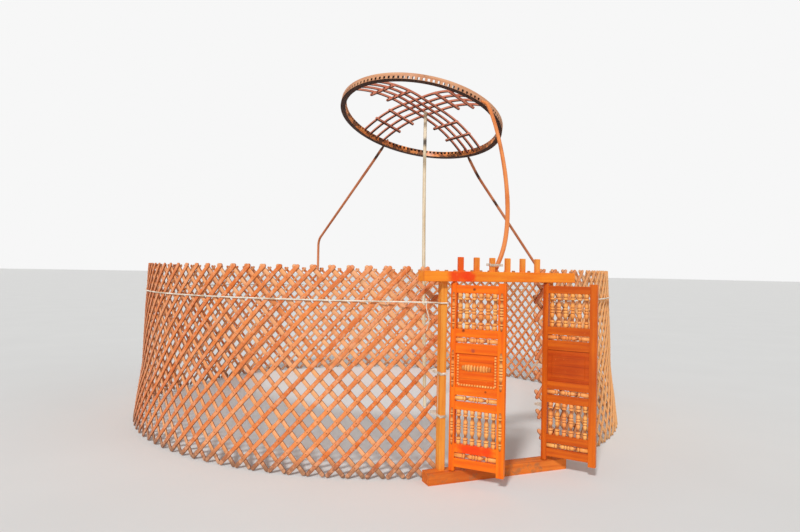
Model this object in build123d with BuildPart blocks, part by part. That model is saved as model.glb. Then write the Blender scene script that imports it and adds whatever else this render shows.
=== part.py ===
from build123d import *

import os
from math import acos, asin, ceil, cos, degrees, radians, sin, sqrt, tan

# A round yurt's bare timber frame while it is put up: a lattice wall, a carved double door, and a
# tilted crown ring on three roof poles and a prop. Sizes are millimetres. The origin is the middle of
# the threshold's underside, +Z is up and the door faces -Y.

# Wall: one rounded shell of two crossed slat layers, cut into equal lengths round the circle
WALL_RADIUS = 2740
WALL_HEIGHT = 1645
WALL_BACK = 20  # from the door frame's middle to the wall's foremost point
WALL_WAIST = (600, 74)  # height, and how much narrower than the foot
WALL_TOP_IN = 120
KANATS = 8
FACETS = 4
HEADS = 13
SLAT_WIDTH = 28
SLAT_THICKNESS = 13
SLAT_LEAN = 47
SLAT_LAP = 1
SLAT_MIDDLE_IN = 90
SLAB_REACH = 800
WALL_SEAM = 0.6

# Door frame
THRESHOLD_OVERHANG = 160
THRESHOLD_DEPTH = 120
THRESHOLD_HEIGHT = 87
POST_WIDTH = 50
POST_FRONT = -5
POST_BACK = 60
OPENING_WIDTH = 920
WALL_BEHIND_POST = 27.5
LINTEL_OVERHANG = 220
LINTEL_BOTTOM = 1525
LINTEL_HEIGHT = 80
PEG_COUNT = 6
PEG_PITCH = 140
PEG_WIDTH = 44
PEG_THICKNESS = 22
PEG_HEIGHT = 110

# Door leaves: each turns on two round pintles in the threshold and the lintel
HINGE_INSET = 41
HINGE_Y = -25
LEAF_MEETING_GAP = 3
LEAF_CLEAR = 6
LEAF_THICKNESS = 40
HINGE_STILE_WIDTH = 30
MEETING_STILE_WIDTH = 58
RAIL_THICKNESS = 34
RAIL_RISE = ((32, 97), (142, 207), (467, 527), (575, 637), (892, 969), (1015, 1077))
TOP_RAIL_DROP = (79, 19)
PANEL_THICKNESS = 14
PANEL_FIELD = 22
PANEL_MARGIN = 32
PINTLE_RADIUS = 11
SOCKET_FIT = 0.5
SOCKET_DEPTH = 25
LEFT_OPEN = 48
RIGHT_OPEN = 128
SPINDLES = 6
SPINDLE_RADIUS = 17
SPINDLE_END = 0.93  # share of the radius
UPRIGHT_END = 17
CROSS_END = 50
SPINDLE_STEPS = (  # from a plain end to the middle: share of the length between the ends, of the radius
    (0, 0.93),
    (0.02, 0.6),
    (0.05, 0.6),
    (0.06, 1),
    (0.11, 1),
    (0.12, 0.55),
    (0.17, 0.5),
    (0.31, 0.95),
    (0.36, 0.9),
    (0.4, 0.68),
    (0.41, 1),
    (0.455, 1),
    (0.47, 0.72),
)

# Crown ring, tilted as it stands on its poles
RING_SET_OFF = (355, -330, 3401)  # from the wall's centre on the ground
RING_TILT_X = -7.7
RING_TILT_Y = 13.7
RING_RADIUS = 970
RING_DEPTH = 60
RING_HEIGHT = 72
RING_SEGMENTS = 8
RING_SEAM = 0.6
RING_HOLES = 112
HOLE_SIZE = 26
HOLE_SLOPE = 31

# Crown bars: two crossed sets of arched bars with a flat middle, and the ties that hold each set
BAR_COUNT = 4
BAR_PITCH = 108
BAR_WIDTH = 24
BAR_THICKNESS = 22
BAR_FLAT = 190
BAR_RISE = 200
BAR_FOOT = 30
CROWN_TURN = 18
TIE_PLACES = (400, 640)
TIE_SIZE = 26
TIE_OVERHANG = 34

# Roof poles and the prop
POLE_RADIUS = 17.5
TIP_SHOULDER = 48
TIP_TAPER = 60
TIP_PAST_RING = 70
APPROACH = 250  # straight run in line with the ring's hole
APPROACH_BEND = 250
POLE_BEND = 200
FOOT_BELOW_TIE = 135
WALL_FLAT = 15  # room for the flats of the faceted wall
BACK_CROSSING = (4, -5.5)  # wall length, and heads from its middle
BACK_TIE_ROW = 9
BACK_KNEE_HEIGHT = 2080
BACK_HOLE = 29
RIGHT_CROSSING = (6, -6)
RIGHT_TIE_ROW = 8
RIGHT_KNEE_HEIGHT = 1600
RIGHT_HOLE = 7
FRONT_X = -30
FRONT_LEAN = 24
FRONT_HOLE = 89
FRONT_KNEE = 120
FRONT_LIFT = 500
FRONT_REACH = 100
PROP_HEAD = (54, 54)
PROP_BOW = (45, -30, 2500)  # sideways from the ring's middle, and up from the ground
PROP_FOOT = (95, -40, 0)
PROP_RADIUS = 21

# Ropes
ROPE_RADIUS = 6
ROPE_BEND = 6.6
GIRTH_HEIGHT = 1360
KNOT_RUN = 84  # from the left post's corner along the rope
KNOT_RADIUS = 15
TAIL_RADIUS = 4.5
TAIL_ARC_SHARE = 0.45  # of the shorter run at each corner
TAIL = ((0, 0, 0), (0, 0, -25), (14, -2, -70), (26, -4, -115), (16, -6, -160), (2, -8, -200))
LASHING_RADIUS = 4
LASHING_CORNER = 4.6
LASHING_WIDTH = 66
POST_TIE_ROWS = (0, -4)
HOOK_DEPTH = 20
FIT = 0.3
TIMBER_CHAMFER = 3
PANEL_CHAMFER = 3.5
RAIL_CHAMFER = 2


WALL_CENTRE = (0, WALL_RADIUS + WALL_BACK)
WALL_PROFILE = (  # height, outer radius
    (0, WALL_RADIUS),
    (WALL_WAIST[0], WALL_RADIUS - WALL_WAIST[1]),
    (WALL_HEIGHT, WALL_RADIUS - WALL_TOP_IN),
)
SLAT_RADIUS = WALL_RADIUS - SLAT_MIDDLE_IN
DOOR_HALF_ANGLE = degrees(asin((OPENING_WIDTH / 2 + WALL_BEHIND_POST) / SLAT_RADIUS))
HINGE_X = OPENING_WIDTH / 2 - HINGE_INSET


def shown(name, builder):
    """Labels a node's part and writes its file."""
    builder.part.label = name
    export_step(builder.part, f"parts/{name}.step")


def wall_radius(height):
    """Gives the wall's outer radius at a height."""
    for (low, low_radius), (high, high_radius) in zip(WALL_PROFILE, WALL_PROFILE[1:]):
        if height <= high:
            return low_radius + (high_radius - low_radius) * (height - low) / (high - low)
    return WALL_PROFILE[-1][1]


# Lattice wall

KANAT_ARC = (360 - 2 * DOOR_HALF_ANGLE) / KANATS
SEAM_ARC = degrees(WALL_SEAM / SLAT_RADIUS)
FACET_ARC = (KANAT_ARC - SEAM_ARC) / FACETS
SLAB_SPARE = 1.2


def kanat_azimuth(number, heads=0):
    """Gives the azimuth of a point on a numbered wall length, counted in slat heads from its middle."""
    return -90 - DOOR_HALF_ANGLE - KANAT_ARC * (number - 0.5) + heads * KANAT_ARC / HEADS


def wall_band(outside, inside):
    """Makes one kanat's flat-faceted shell between two depths behind the wall's outer face."""
    flatten = cos(radians(FACET_ARC / 2))
    outline = [((radius - outside) * flatten, height) for height, radius in WALL_PROFILE]
    outline += [((radius - inside) * flatten, height) for height, radius in reversed(WALL_PROFILE)]
    reach = 2 * SLAT_RADIUS
    edge = reach * tan(radians(FACET_ARC / 2))
    with BuildPart() as facet:
        with BuildSketch(Plane.XZ):
            with BuildLine():
                Polyline(*outline, close=True)
            make_face()
        extrude(amount=edge, both=True)
        with BuildSketch():
            with BuildLine():
                Polyline((0, 0), (reach, edge), (reach, -edge), close=True)
            make_face()
        extrude(amount=WALL_HEIGHT, mode=Mode.INTERSECT)
    with BuildPart() as band:
        turns = [(i - (FACETS - 1) / 2) * FACET_ARC for i in range(FACETS)]
        add([facet.part.rotate(Axis.Z, turn) for turn in turns])
    return band.part


def slat_layer(band, side):
    """Cuts parallel leaning slats out of a shell: side 1 rises anticlockwise, -1 clockwise."""
    pitch = KANAT_ARC / HEADS
    run = degrees(WALL_HEIGHT / tan(radians(SLAT_LEAN)) / SLAT_RADIUS) / 2
    beyond = ceil(run / pitch)
    length = SLAB_SPARE * WALL_HEIGHT / sin(radians(SLAT_LEAN))
    middle = Location((SLAT_RADIUS, 0, WALL_HEIGHT / 2)) * Rotation(side * (SLAT_LEAN - 90), 0, 0)
    turns = [(i + 0.5 - HEADS / 2) * pitch for i in range(-beyond, HEADS + beyond)]
    with BuildPart() as layer:
        with Locations(*[Rotation(0, 0, turn) * middle for turn in turns]):
            Box(SLAB_REACH, SLAT_WIDTH, length)
        add(band, mode=Mode.INTERSECT)
    return layer.part


with BuildPart() as kanat:
    outer_band = wall_band(0, SLAT_THICKNESS)
    inner_band = wall_band(SLAT_THICKNESS - SLAT_LAP, 2 * SLAT_THICKNESS - SLAT_LAP)
    add([slat_layer(outer_band, 1), slat_layer(inner_band, -1)])

os.makedirs("parts", exist_ok=True)
for number in range(1, KANATS + 1):
    with BuildPart() as placed:
        add(Location((*WALL_CENTRE, 0)) * kanat.part.rotate(Axis.Z, kanat_azimuth(number)))
    shown(f"kanat_{number}", placed)


# Door frame


def sockets(z):
    """Cuts the two round pintle sockets into the face at height z."""
    with Locations((HINGE_X, HINGE_Y, z), (-HINGE_X, HINGE_Y, z)):
        Cylinder(PINTLE_RADIUS + SOCKET_FIT, 2 * SOCKET_DEPTH, mode=Mode.SUBTRACT)


with BuildPart() as threshold:
    with Locations((0, 0, THRESHOLD_HEIGHT / 2)):
        Box(OPENING_WIDTH + 2 * THRESHOLD_OVERHANG, THRESHOLD_DEPTH, THRESHOLD_HEIGHT)
    chamfer(threshold.edges().filter_by(Axis.X).group_by(Axis.Z)[-1], length=TIMBER_CHAMFER)
    sockets(THRESHOLD_HEIGHT)
shown("threshold", threshold)

with BuildPart() as lintel:
    with Locations((0, 0, LINTEL_BOTTOM + LINTEL_HEIGHT / 2)):
        Box(OPENING_WIDTH + 2 * LINTEL_OVERHANG, THRESHOLD_DEPTH, LINTEL_HEIGHT)
    chamfer(lintel.edges().filter_by(Axis.X), length=TIMBER_CHAMFER)
    sockets(LINTEL_BOTTOM)
shown("lintel", lintel)

for side, name in ((-1, "post_left"), (1, "post_right")):
    with BuildPart() as post:
        middle = side * (OPENING_WIDTH + POST_WIDTH) / 2
        with BuildSketch(Plane.XY.offset(THRESHOLD_HEIGHT)):
            with Locations((middle, (POST_FRONT + POST_BACK) / 2)):
                Rectangle(POST_WIDTH, POST_BACK - POST_FRONT)
        extrude(amount=LINTEL_BOTTOM - THRESHOLD_HEIGHT)
        chamfer(post.edges().filter_by(Axis.Z), length=TIMBER_CHAMFER)
    shown(name, post)

with BuildPart() as lintel_pegs:
    places = [((i - (PEG_COUNT - 1) / 2) * PEG_PITCH, 0) for i in range(PEG_COUNT)]
    with BuildSketch(Plane.XY.offset(LINTEL_BOTTOM + LINTEL_HEIGHT)):
        with Locations(*places):
            Rectangle(PEG_WIDTH, PEG_THICKNESS)
    extrude(amount=PEG_HEIGHT)
    chamfer(lintel_pegs.faces().group_by(Axis.Z)[-1].edges(), length=TIMBER_CHAMFER)
shown("lintel_pegs", lintel_pegs)


# Door leaves, drawn closed from the hinge line towards +X, then turned and placed

LEAF_BOTTOM = THRESHOLD_HEIGHT + LEAF_CLEAR
LEAF_TOP = LINTEL_BOTTOM - LEAF_CLEAR
RAILS = [(LEAF_BOTTOM + low, LEAF_BOTTOM + high) for low, high in RAIL_RISE]
RAILS.append((LEAF_TOP - TOP_RAIL_DROP[0], LEAF_TOP - TOP_RAIL_DROP[1]))
LEAF_REACH = HINGE_X - LEAF_MEETING_GAP
INNER_LEFT = HINGE_STILE_WIDTH
INNER_RIGHT = LEAF_REACH - MEETING_STILE_WIDTH
INNER_WIDTH = INNER_RIGHT - INNER_LEFT
INNER_MIDDLE = (INNER_LEFT + INNER_RIGHT) / 2
LEAF_HEIGHT = LEAF_TOP - LEAF_BOTTOM
PINTLE_LENGTH = LEAF_CLEAR + SOCKET_DEPTH - FIT


def spindle(length, end):
    """Turns one baluster along +Z from the origin: plain ends, discs, and a vase each side of the waist."""
    between = length - 2 * end
    half = [(SPINDLE_RADIUS * SPINDLE_END, 0)]
    half += [(SPINDLE_RADIUS * size, end + between * place) for place, size in SPINDLE_STEPS]
    outline = half + [(radius, length - height) for radius, height in reversed(half)]
    with BuildPart() as turned:
        with BuildSketch(Plane.XZ):
            with BuildLine():
                Polyline((0, 0), *outline, (0, length), close=True)
            make_face()
        revolve(axis=Axis.Z)
    return turned.part


def hinge_stile():
    """Makes the hinge stile: a rounded back edge on the hinge line, and a pintle at each end."""
    with BuildPart() as stile:
        with BuildSketch(Plane.XY.offset(LEAF_BOTTOM)):
            Circle(LEAF_THICKNESS / 2)
            with Locations((HINGE_STILE_WIDTH / 2, 0)):
                Rectangle(HINGE_STILE_WIDTH, LEAF_THICKNESS)
        extrude(amount=LEAF_HEIGHT)
        with Locations((0, 0, (LEAF_BOTTOM + LEAF_TOP) / 2)):
            Cylinder(PINTLE_RADIUS, LEAF_HEIGHT + 2 * PINTLE_LENGTH)
    return stile.part


def meeting_stile():
    """Makes the stile at the leaf's free edge."""
    with BuildPart() as stile:
        with Locations((LEAF_REACH - MEETING_STILE_WIDTH / 2, 0, (LEAF_BOTTOM + LEAF_TOP) / 2)):
            Box(MEETING_STILE_WIDTH, LEAF_THICKNESS, LEAF_HEIGHT)
        chamfer(stile.edges().filter_by(Axis.Z), length=TIMBER_CHAMFER)
    return stile.part


def rails():
    """Makes the leaf's seven cross rails."""
    with BuildPart() as bars:
        for low, high in RAILS:
            with Locations((INNER_MIDDLE, 0, (low + high) / 2)):
                Box(INNER_WIDTH, RAIL_THICKNESS, high - low)
        chamfer(bars.edges().filter_by(Axis.X), length=RAIL_CHAMFER)
    return bars.part


def panel():
    """Makes the solid middle panel with a raised field."""
    low, high = RAILS[3][1], RAILS[4][0]
    with BuildPart() as board:
        with Locations((INNER_MIDDLE, 0, (low + high) / 2)):
            Box(INNER_WIDTH, PANEL_THICKNESS, high - low)
            Box(INNER_WIDTH - 2 * PANEL_MARGIN, PANEL_FIELD, high - low - 2 * PANEL_MARGIN)
        chamfer(board.faces().filter_by(Axis.Y).group_by(Axis.Y)[0].edges(), length=PANEL_CHAMFER)
        chamfer(board.faces().filter_by(Axis.Y).group_by(Axis.Y)[-1].edges(), length=PANEL_CHAMFER)
    return board.part


def upright_spindles(low, high):
    """Fills an opening between two rails with turned spindles."""
    turned = spindle(high - low, UPRIGHT_END)
    pitch = INNER_WIDTH / SPINDLES
    with BuildPart() as row:
        with Locations(*[(INNER_LEFT + (i + 0.5) * pitch, 0, low) for i in range(SPINDLES)]):
            add(turned)
    return row.part


def cross_spindles():
    """Lays one long turned spindle in each of the three slots between paired rails."""
    turned = spindle(INNER_WIDTH, CROSS_END).rotate(Axis.Y, 90)
    slots = ((RAILS[0][1], RAILS[1][0]), (RAILS[2][1], RAILS[3][0]), (RAILS[4][1], RAILS[5][0]))
    with BuildPart() as rows:
        with Locations(*[(INNER_LEFT, 0, (low + high) / 2) for low, high in slots]):
            add(turned)
    return rows.part


LEAF_PIECES = {
    "hinge_stile": hinge_stile(),
    "meeting_stile": meeting_stile(),
    "rails": rails(),
    "panel": panel(),
    "upper_spindles": upright_spindles(RAILS[5][1], RAILS[6][0]),
    "lower_spindles": upright_spindles(RAILS[1][1], RAILS[2][0]),
    "cross_spindles": cross_spindles(),
}
for piece, shape in LEAF_PIECES.items():
    with BuildPart() as left_piece:
        add(Location((-HINGE_X, HINGE_Y, 0)) * shape.rotate(Axis.Z, -LEFT_OPEN))
    shown(f"left_{piece}", left_piece)
    with BuildPart() as right_piece:
        add(Location((HINGE_X, HINGE_Y, 0)) * shape.mirror(Plane.YZ).rotate(Axis.Z, RIGHT_OPEN))
    shown(f"right_{piece}", right_piece)


# Crown ring: its own frame has the ring's axis as Z and its mid-plane at zero

RING_CENTRE = Vector(*WALL_CENTRE) + Vector(*RING_SET_OFF)
CROWN = Location(RING_CENTRE) * Rotation(0, RING_TILT_Y, 0) * Rotation(RING_TILT_X, 0, 0)
RING_INNER = RING_RADIUS - RING_DEPTH
SEGMENT_ARC = 360 / RING_SEGMENTS
SEGMENT_HOLES = RING_HOLES // RING_SEGMENTS
RING_SEAM_ARC = degrees(RING_SEAM / RING_RADIUS)


def hole_turn(number):
    """Gives the turn of a ring hole about the ring's axis, counted from the first segment's end."""
    along = (number % SEGMENT_HOLES + 0.5) * SEGMENT_ARC / SEGMENT_HOLES
    return number // SEGMENT_HOLES * SEGMENT_ARC + along - RING_SEAM_ARC / 2


with BuildPart() as ring_segment:
    with BuildSketch(Plane.XZ):
        with Locations(((RING_RADIUS + RING_INNER) / 2, 0)):
            Rectangle(RING_DEPTH, RING_HEIGHT)
    revolve(axis=Axis.Z, revolution_arc=SEGMENT_ARC - RING_SEAM_ARC)
    hole = Location(((RING_RADIUS + RING_INNER) / 2, 0, 0)) * Rotation(0, HOLE_SLOPE, 0)
    with Locations(*[Rotation(0, 0, hole_turn(i)) * hole for i in range(SEGMENT_HOLES)]):
        Box(3 * RING_DEPTH, HOLE_SIZE, HOLE_SIZE, mode=Mode.SUBTRACT)

for number in range(RING_SEGMENTS):
    with BuildPart() as placed:
        add(CROWN * ring_segment.part.rotate(Axis.Z, number * SEGMENT_ARC))
    shown(f"ring_{number + 1}", placed)


# Crown bars and their ties

BAR_END = RING_INNER - FIT
ARC_RUN = BAR_END - BAR_FLAT
ARC_DROP = BAR_RISE - BAR_FOOT
ARC_RADIUS = (ARC_RUN**2 + ARC_DROP**2) / (2 * ARC_DROP)


def arch_height(run, depth):
    """Gives the height of an upper bar's arc at a distance from the crown's middle, depth below its top."""
    across = run - BAR_FLAT
    return BAR_RISE - ARC_RADIUS + sqrt((ARC_RADIUS - depth) ** 2 - across**2)


def bar_set(lower):
    """Makes four parallel arched bars along X, lower or level with the top, cut off at the ring's bore."""
    reach = BAR_END + BAR_THICKNESS
    top, bottom = arch_height(reach, 0), arch_height(reach, BAR_THICKNESS)
    with BuildPart() as bar:
        with BuildSketch(Plane.XZ):
            with BuildLine():
                for side in (-1, 1):
                    TangentArc((side * BAR_FLAT, BAR_RISE), (side * reach, top), tangent=(side, 0))
                    below = (side * BAR_FLAT, BAR_RISE - BAR_THICKNESS)
                    TangentArc(below, (side * reach, bottom), tangent=(side, 0))
                    Line((side * reach, top), (side * reach, bottom))
                for depth in (0, BAR_THICKNESS):
                    Line((-BAR_FLAT, BAR_RISE - depth), (BAR_FLAT, BAR_RISE - depth))
            make_face()
        extrude(amount=BAR_WIDTH / 2, both=True)
    places = [(i - (BAR_COUNT - 1) / 2) * BAR_PITCH for i in range(BAR_COUNT)]
    with BuildPart() as row:
        with Locations(*[(0, place, -lower) for place in places]):
            add(bar.part)
        Cylinder(BAR_END, 4 * BAR_RISE, mode=Mode.INTERSECT)
    return row.part


def tie_set(lower):
    """Makes the ties under a bar set: two on each side of the crossing, past the outer bars."""
    length = (BAR_COUNT - 1) * BAR_PITCH + BAR_WIDTH + 2 * TIE_OVERHANG
    seat = Location((0, 0, -FIT - TIE_SIZE / 2))
    with BuildPart() as ties:
        for place in (-TIE_PLACES[1], -TIE_PLACES[0], *TIE_PLACES):
            lean = degrees(asin((abs(place) - BAR_FLAT) / ARC_RADIUS)) * (1 if place > 0 else -1)
            top = arch_height(abs(place), BAR_THICKNESS) - lower
            with Locations(Location((place, 0, top)) * Rotation(0, lean, 0) * seat):
                Box(TIE_SIZE, length, TIE_SIZE)
    return ties.part


BAR_TURNS = {"a": (CROWN_TURN + 90, 0), "b": (CROWN_TURN, BAR_THICKNESS)}
for letter, (turn, lower) in BAR_TURNS.items():
    with BuildPart() as crown_bars:
        add(CROWN * bar_set(lower).rotate(Axis.Z, turn))
    shown(f"crown_bars_{letter}", crown_bars)

with BuildPart() as crown_ties:
    for turn, lower in BAR_TURNS.values():
        add(CROWN * tie_set(lower).rotate(Axis.Z, turn))
shown("crown_ties", crown_ties)


# Roof poles: each stands at the wall or the lintel and its tip goes through one of the ring's holes

HEIGHT_TRIES = 6
POLE_TIP_RADIUS = HOLE_SIZE / 2 - FIT


def crossing_height(row):
    """Gives the height of a row of slat crossings, counted up and down from the wall's half height."""
    rise = tan(radians(SLAT_LEAN)) * sin(radians(row * KANAT_ARC / HEADS / 2))
    height = WALL_HEIGHT / 2
    for _ in range(HEIGHT_TRIES):
        height = WALL_HEIGHT / 2 + rise * (wall_radius(height) - SLAT_THICKNESS)
    return height


def wall_point(azimuth, inside, height):
    """Gives a point behind the wall's outer face, seen from the wall's centre."""
    radius = wall_radius(height) - inside
    x, y = WALL_CENTRE
    return Vector(x + radius * cos(radians(azimuth)), y + radius * sin(radians(azimuth)), height)


def hole_plane(number):
    """Gives the plane at a ring hole's middle whose normal leads out of the ring, down the hole."""
    middle = Location(((RING_RADIUS + RING_INNER) / 2, 0, 0)) * Rotation(0, HOLE_SLOPE + 90, 0)
    return Plane(CROWN * Rotation(0, 0, hole_turn(number)) * middle)


def pole(way, mouth):
    """Sweeps a pole along its way to a ring hole, where it narrows to the tip that goes through."""
    with BuildPart() as shaft:
        with BuildSketch(Plane(way @ 0, z_dir=way % 0)):
            Circle(POLE_RADIUS)
        sweep(path=way)
        with Locations(Location(mouth.offset(TIP_SHOULDER + TIP_TAPER / 2))):
            Cone(POLE_TIP_RADIUS, POLE_RADIUS, TIP_TAPER)
        tip_length = TIP_SHOULDER + TIP_PAST_RING
        with Locations(Location(mouth.offset(TIP_SHOULDER - tip_length / 2))):
            Cylinder(POLE_TIP_RADIUS, tip_length)
    return shaft


def lashing(middle, width, depth, turn=0):
    """Bends a level loop of thin rope, width across and depth through, about a point."""
    plane = Plane(middle, z_dir=(0, 0, 1)).rotated((0, 0, turn))
    with BuildSketch(plane) as outline:
        RectangleRounded(width, depth, LASHING_CORNER)
    way = outline.sketch.wires()[0]
    with BuildPart() as loop:
        with BuildSketch(Plane(way @ 0, z_dir=way % 0)):
            Circle(LASHING_RADIUS)
        sweep(path=way)
    return loop.part


POLE_INSIDE = 2 * SLAT_THICKNESS + POLE_RADIUS + WALL_FLAT
TAPER_START = TIP_SHOULDER + TIP_TAPER
lashings = []
WALL_POLES = {
    "pole_back": (BACK_CROSSING, BACK_TIE_ROW, BACK_KNEE_HEIGHT, BACK_HOLE),
    "pole_right": (RIGHT_CROSSING, RIGHT_TIE_ROW, RIGHT_KNEE_HEIGHT, RIGHT_HOLE),
}
for name, (crossing, tie_row, knee_height, hole_number) in WALL_POLES.items():
    azimuth = kanat_azimuth(*crossing)
    tie_height = crossing_height(tie_row)
    upright = wall_point(azimuth, POLE_INSIDE, tie_height)
    foot = upright - Vector(0, 0, FOOT_BELOW_TIE)
    knee = Vector(upright.X, upright.Y, knee_height)
    mouth = hole_plane(hole_number)
    ends = (mouth.offset(TAPER_START + APPROACH).origin, mouth.offset(TAPER_START).origin)
    with BuildLine() as way:
        FilletPolyline(foot, knee, *ends, radius=[POLE_BEND, APPROACH_BEND])
    shown(name, pole(way.wires()[0], mouth))
    depth = 2 * (SLAT_THICKNESS + POLE_RADIUS + LASHING_RADIUS) + WALL_FLAT + 2 * FIT
    middle = wall_point(azimuth, depth / 2 - LASHING_RADIUS - FIT, tie_height)
    lashings.append(lashing(middle, LASHING_WIDTH, depth, azimuth - 90))

# The front pole leans to the right of its peg, on the lintel, and bows over to the ring's near side
LINTEL_TOP = LINTEL_BOTTOM + LINTEL_HEIGHT
leaning = Vector(sin(radians(FRONT_LEAN)), 0, cos(radians(FRONT_LEAN)))
front_foot = Vector(FRONT_X, PEG_THICKNESS / 2 + POLE_RADIUS + FIT, LINTEL_TOP)
front_knee = front_foot + leaning * FRONT_KNEE
mouth = hole_plane(FRONT_HOLE)
ends = (mouth.offset(TAPER_START + FRONT_REACH).origin, mouth.offset(TAPER_START).origin)
with BuildLine() as way:
    Line(front_foot - leaning * POLE_RADIUS, front_knee)
    Bezier(front_knee, front_knee + leaning * FRONT_LIFT, *ends)
pole_front = pole(way.wires()[0], mouth)
with pole_front:
    split(bisect_by=Plane.XY.offset(LINTEL_TOP + FIT), keep=Keep.TOP)
shown("pole_front", pole_front)

peg_side = -(PEG_PITCH + PEG_WIDTH) / 2
tie_over = tan(radians(FRONT_LEAN)) * (PEG_HEIGHT / 2 + LASHING_RADIUS)
pole_side = FRONT_X + tie_over + POLE_RADIUS / cos(radians(FRONT_LEAN))
tie_width = pole_side - peg_side + 2 * (LASHING_RADIUS + FIT)
tie_depth = PEG_THICKNESS + 2 * (POLE_RADIUS + LASHING_RADIUS) + 3 * FIT
tie_middle = ((pole_side + peg_side) / 2, POLE_RADIUS + FIT / 2, LINTEL_TOP + PEG_HEIGHT / 2)
lashings.append(lashing(tie_middle, tie_width, tie_depth))
with BuildPart() as pole_ties:
    add(lashings)
shown("pole_ties", pole_ties)

under_bars = Plane(CROWN * Location((*PROP_HEAD, BAR_RISE - 2 * BAR_THICKNESS - FIT)))
below_ring = Vector(RING_CENTRE.X, RING_CENTRE.Y)
prop_foot, prop_bow = below_ring + Vector(*PROP_FOOT), below_ring + Vector(*PROP_BOW)
with BuildPart() as prop_pole:
    with BuildLine():
        way = ThreePointArc(prop_foot, prop_bow, under_bars.offset(PROP_RADIUS).origin)
    with BuildSketch(Plane(way @ 0, z_dir=way % 0)):
        Circle(PROP_RADIUS)
    sweep(path=way)
    split(bisect_by=under_bars, keep=Keep.BOTTOM)
    split(bisect_by=Plane.XY, keep=Keep.TOP)
shown("prop_pole", prop_pole)


# Ropes: the girth rope round the wall hooks round both posts, and short ties hold the wall to them

POST_OUTER = OPENING_WIDTH / 2 + POST_WIDTH
CLEAR = ROPE_RADIUS + FIT
girth_radius = wall_radius(GIRTH_HEIGHT) + CLEAR
outer_y = WALL_CENTRE[1] - POST_BACK
span = sqrt((POST_OUTER + CLEAR) ** 2 + outer_y**2)
leave = degrees(acos(girth_radius / span) + asin((POST_OUTER + CLEAR) / span))


def hook(side):
    """Gives the rope's corners from inside a post, round its front, to where the rope meets the wall."""
    azimuth = radians(-90 + side * leave)
    return [
        (side * (OPENING_WIDTH / 2 - CLEAR), POST_FRONT + HOOK_DEPTH),
        (side * (OPENING_WIDTH / 2 - CLEAR), POST_FRONT - CLEAR),
        (side * (POST_OUTER + CLEAR), POST_FRONT - CLEAR),
        (side * (POST_OUTER + CLEAR), POST_BACK),
        (WALL_CENTRE[0] + girth_radius * cos(azimuth), WALL_CENTRE[1] + girth_radius * sin(azimuth)),
    ]


post_corner, wall_meeting = (Vector(*point, GIRTH_HEIGHT) for point in hook(-1)[-2:])
knot_middle = post_corner + (wall_meeting - post_corner).normalized() * KNOT_RUN
with BuildPart() as girth_rope:
    with BuildLine(Plane.XY.offset(GIRTH_HEIGHT)) as way:
        FilletPolyline(*hook(-1), radius=ROPE_BEND)
        CenterArc(WALL_CENTRE, girth_radius, -90 - leave, 2 * leave - 360)
        FilletPolyline(*reversed(hook(1)), radius=ROPE_BEND)
    rope_way = way.wires()[0]
    with BuildSketch(Plane(rope_way @ 0, z_dir=rope_way % 0)):
        Circle(ROPE_RADIUS)
    sweep(path=rope_way)
    with Locations(knot_middle):
        Sphere(KNOT_RADIUS)
shown("girth_rope", girth_rope)

knot_bottom = knot_middle - Vector(0, 0, KNOT_RADIUS + FIT)
tail_points = [knot_bottom + Vector(*offset) for offset in TAIL]
tail_runs = [end - start for start, end in zip(tail_points, tail_points[1:])]
tail_radii = [
    TAIL_ARC_SHARE * min(run.length, after.length) / tan(radians(run.get_angle(after)) / 2)
    for run, after in zip(tail_runs, tail_runs[1:])
]
print("tail radii", [round(radius) for radius in tail_radii])
with BuildPart() as rope_tail:
    with BuildLine() as way:
        FilletPolyline(*tail_points, radius=tail_radii)
    with BuildSketch(Plane(knot_bottom)):
        Circle(TAIL_RADIUS)
    sweep(path=way.wires()[0])
tail_length = way.wires()[0].length
print("tail length", round(tail_length), "section", round(rope_tail.part.volume / tail_length, 1))
shown("rope_tail", rope_tail)

with BuildPart() as post_ties:
    for row in POST_TIE_ROWS:
        height = crossing_height(row)
        back = wall_point(-90 + DOOR_HALF_ANGLE, 2 * SLAT_THICKNESS, height).Y + 2 * LASHING_RADIUS
        front_y = POST_FRONT - LASHING_RADIUS - FIT
        for side in (-1, 1):
            middle = (side * (OPENING_WIDTH + POST_WIDTH) / 2, (front_y + back) / 2, height)
            width = POST_WIDTH + 2 * (LASHING_RADIUS + FIT)
            add(lashing(middle, width, back - front_y))
shown("post_ties", post_ties)
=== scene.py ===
# %% [markdown]
# A yurt's bare timber frame, half way through being put up: a round lattice wall, a carved double
# door and a crown ring held up on roof poles and a prop. The measured model brings the real sizes and
# everything that carries or turns. This lesson dresses it: whole slats with rawhide knots, turned and
# split spindles, twisted rope, and wood that has grain, varnish and weather on it.

from math import cos, pi, radians, sin, tan

import bpy
import numpy as np
from mathutils import Matrix, Vector


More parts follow.
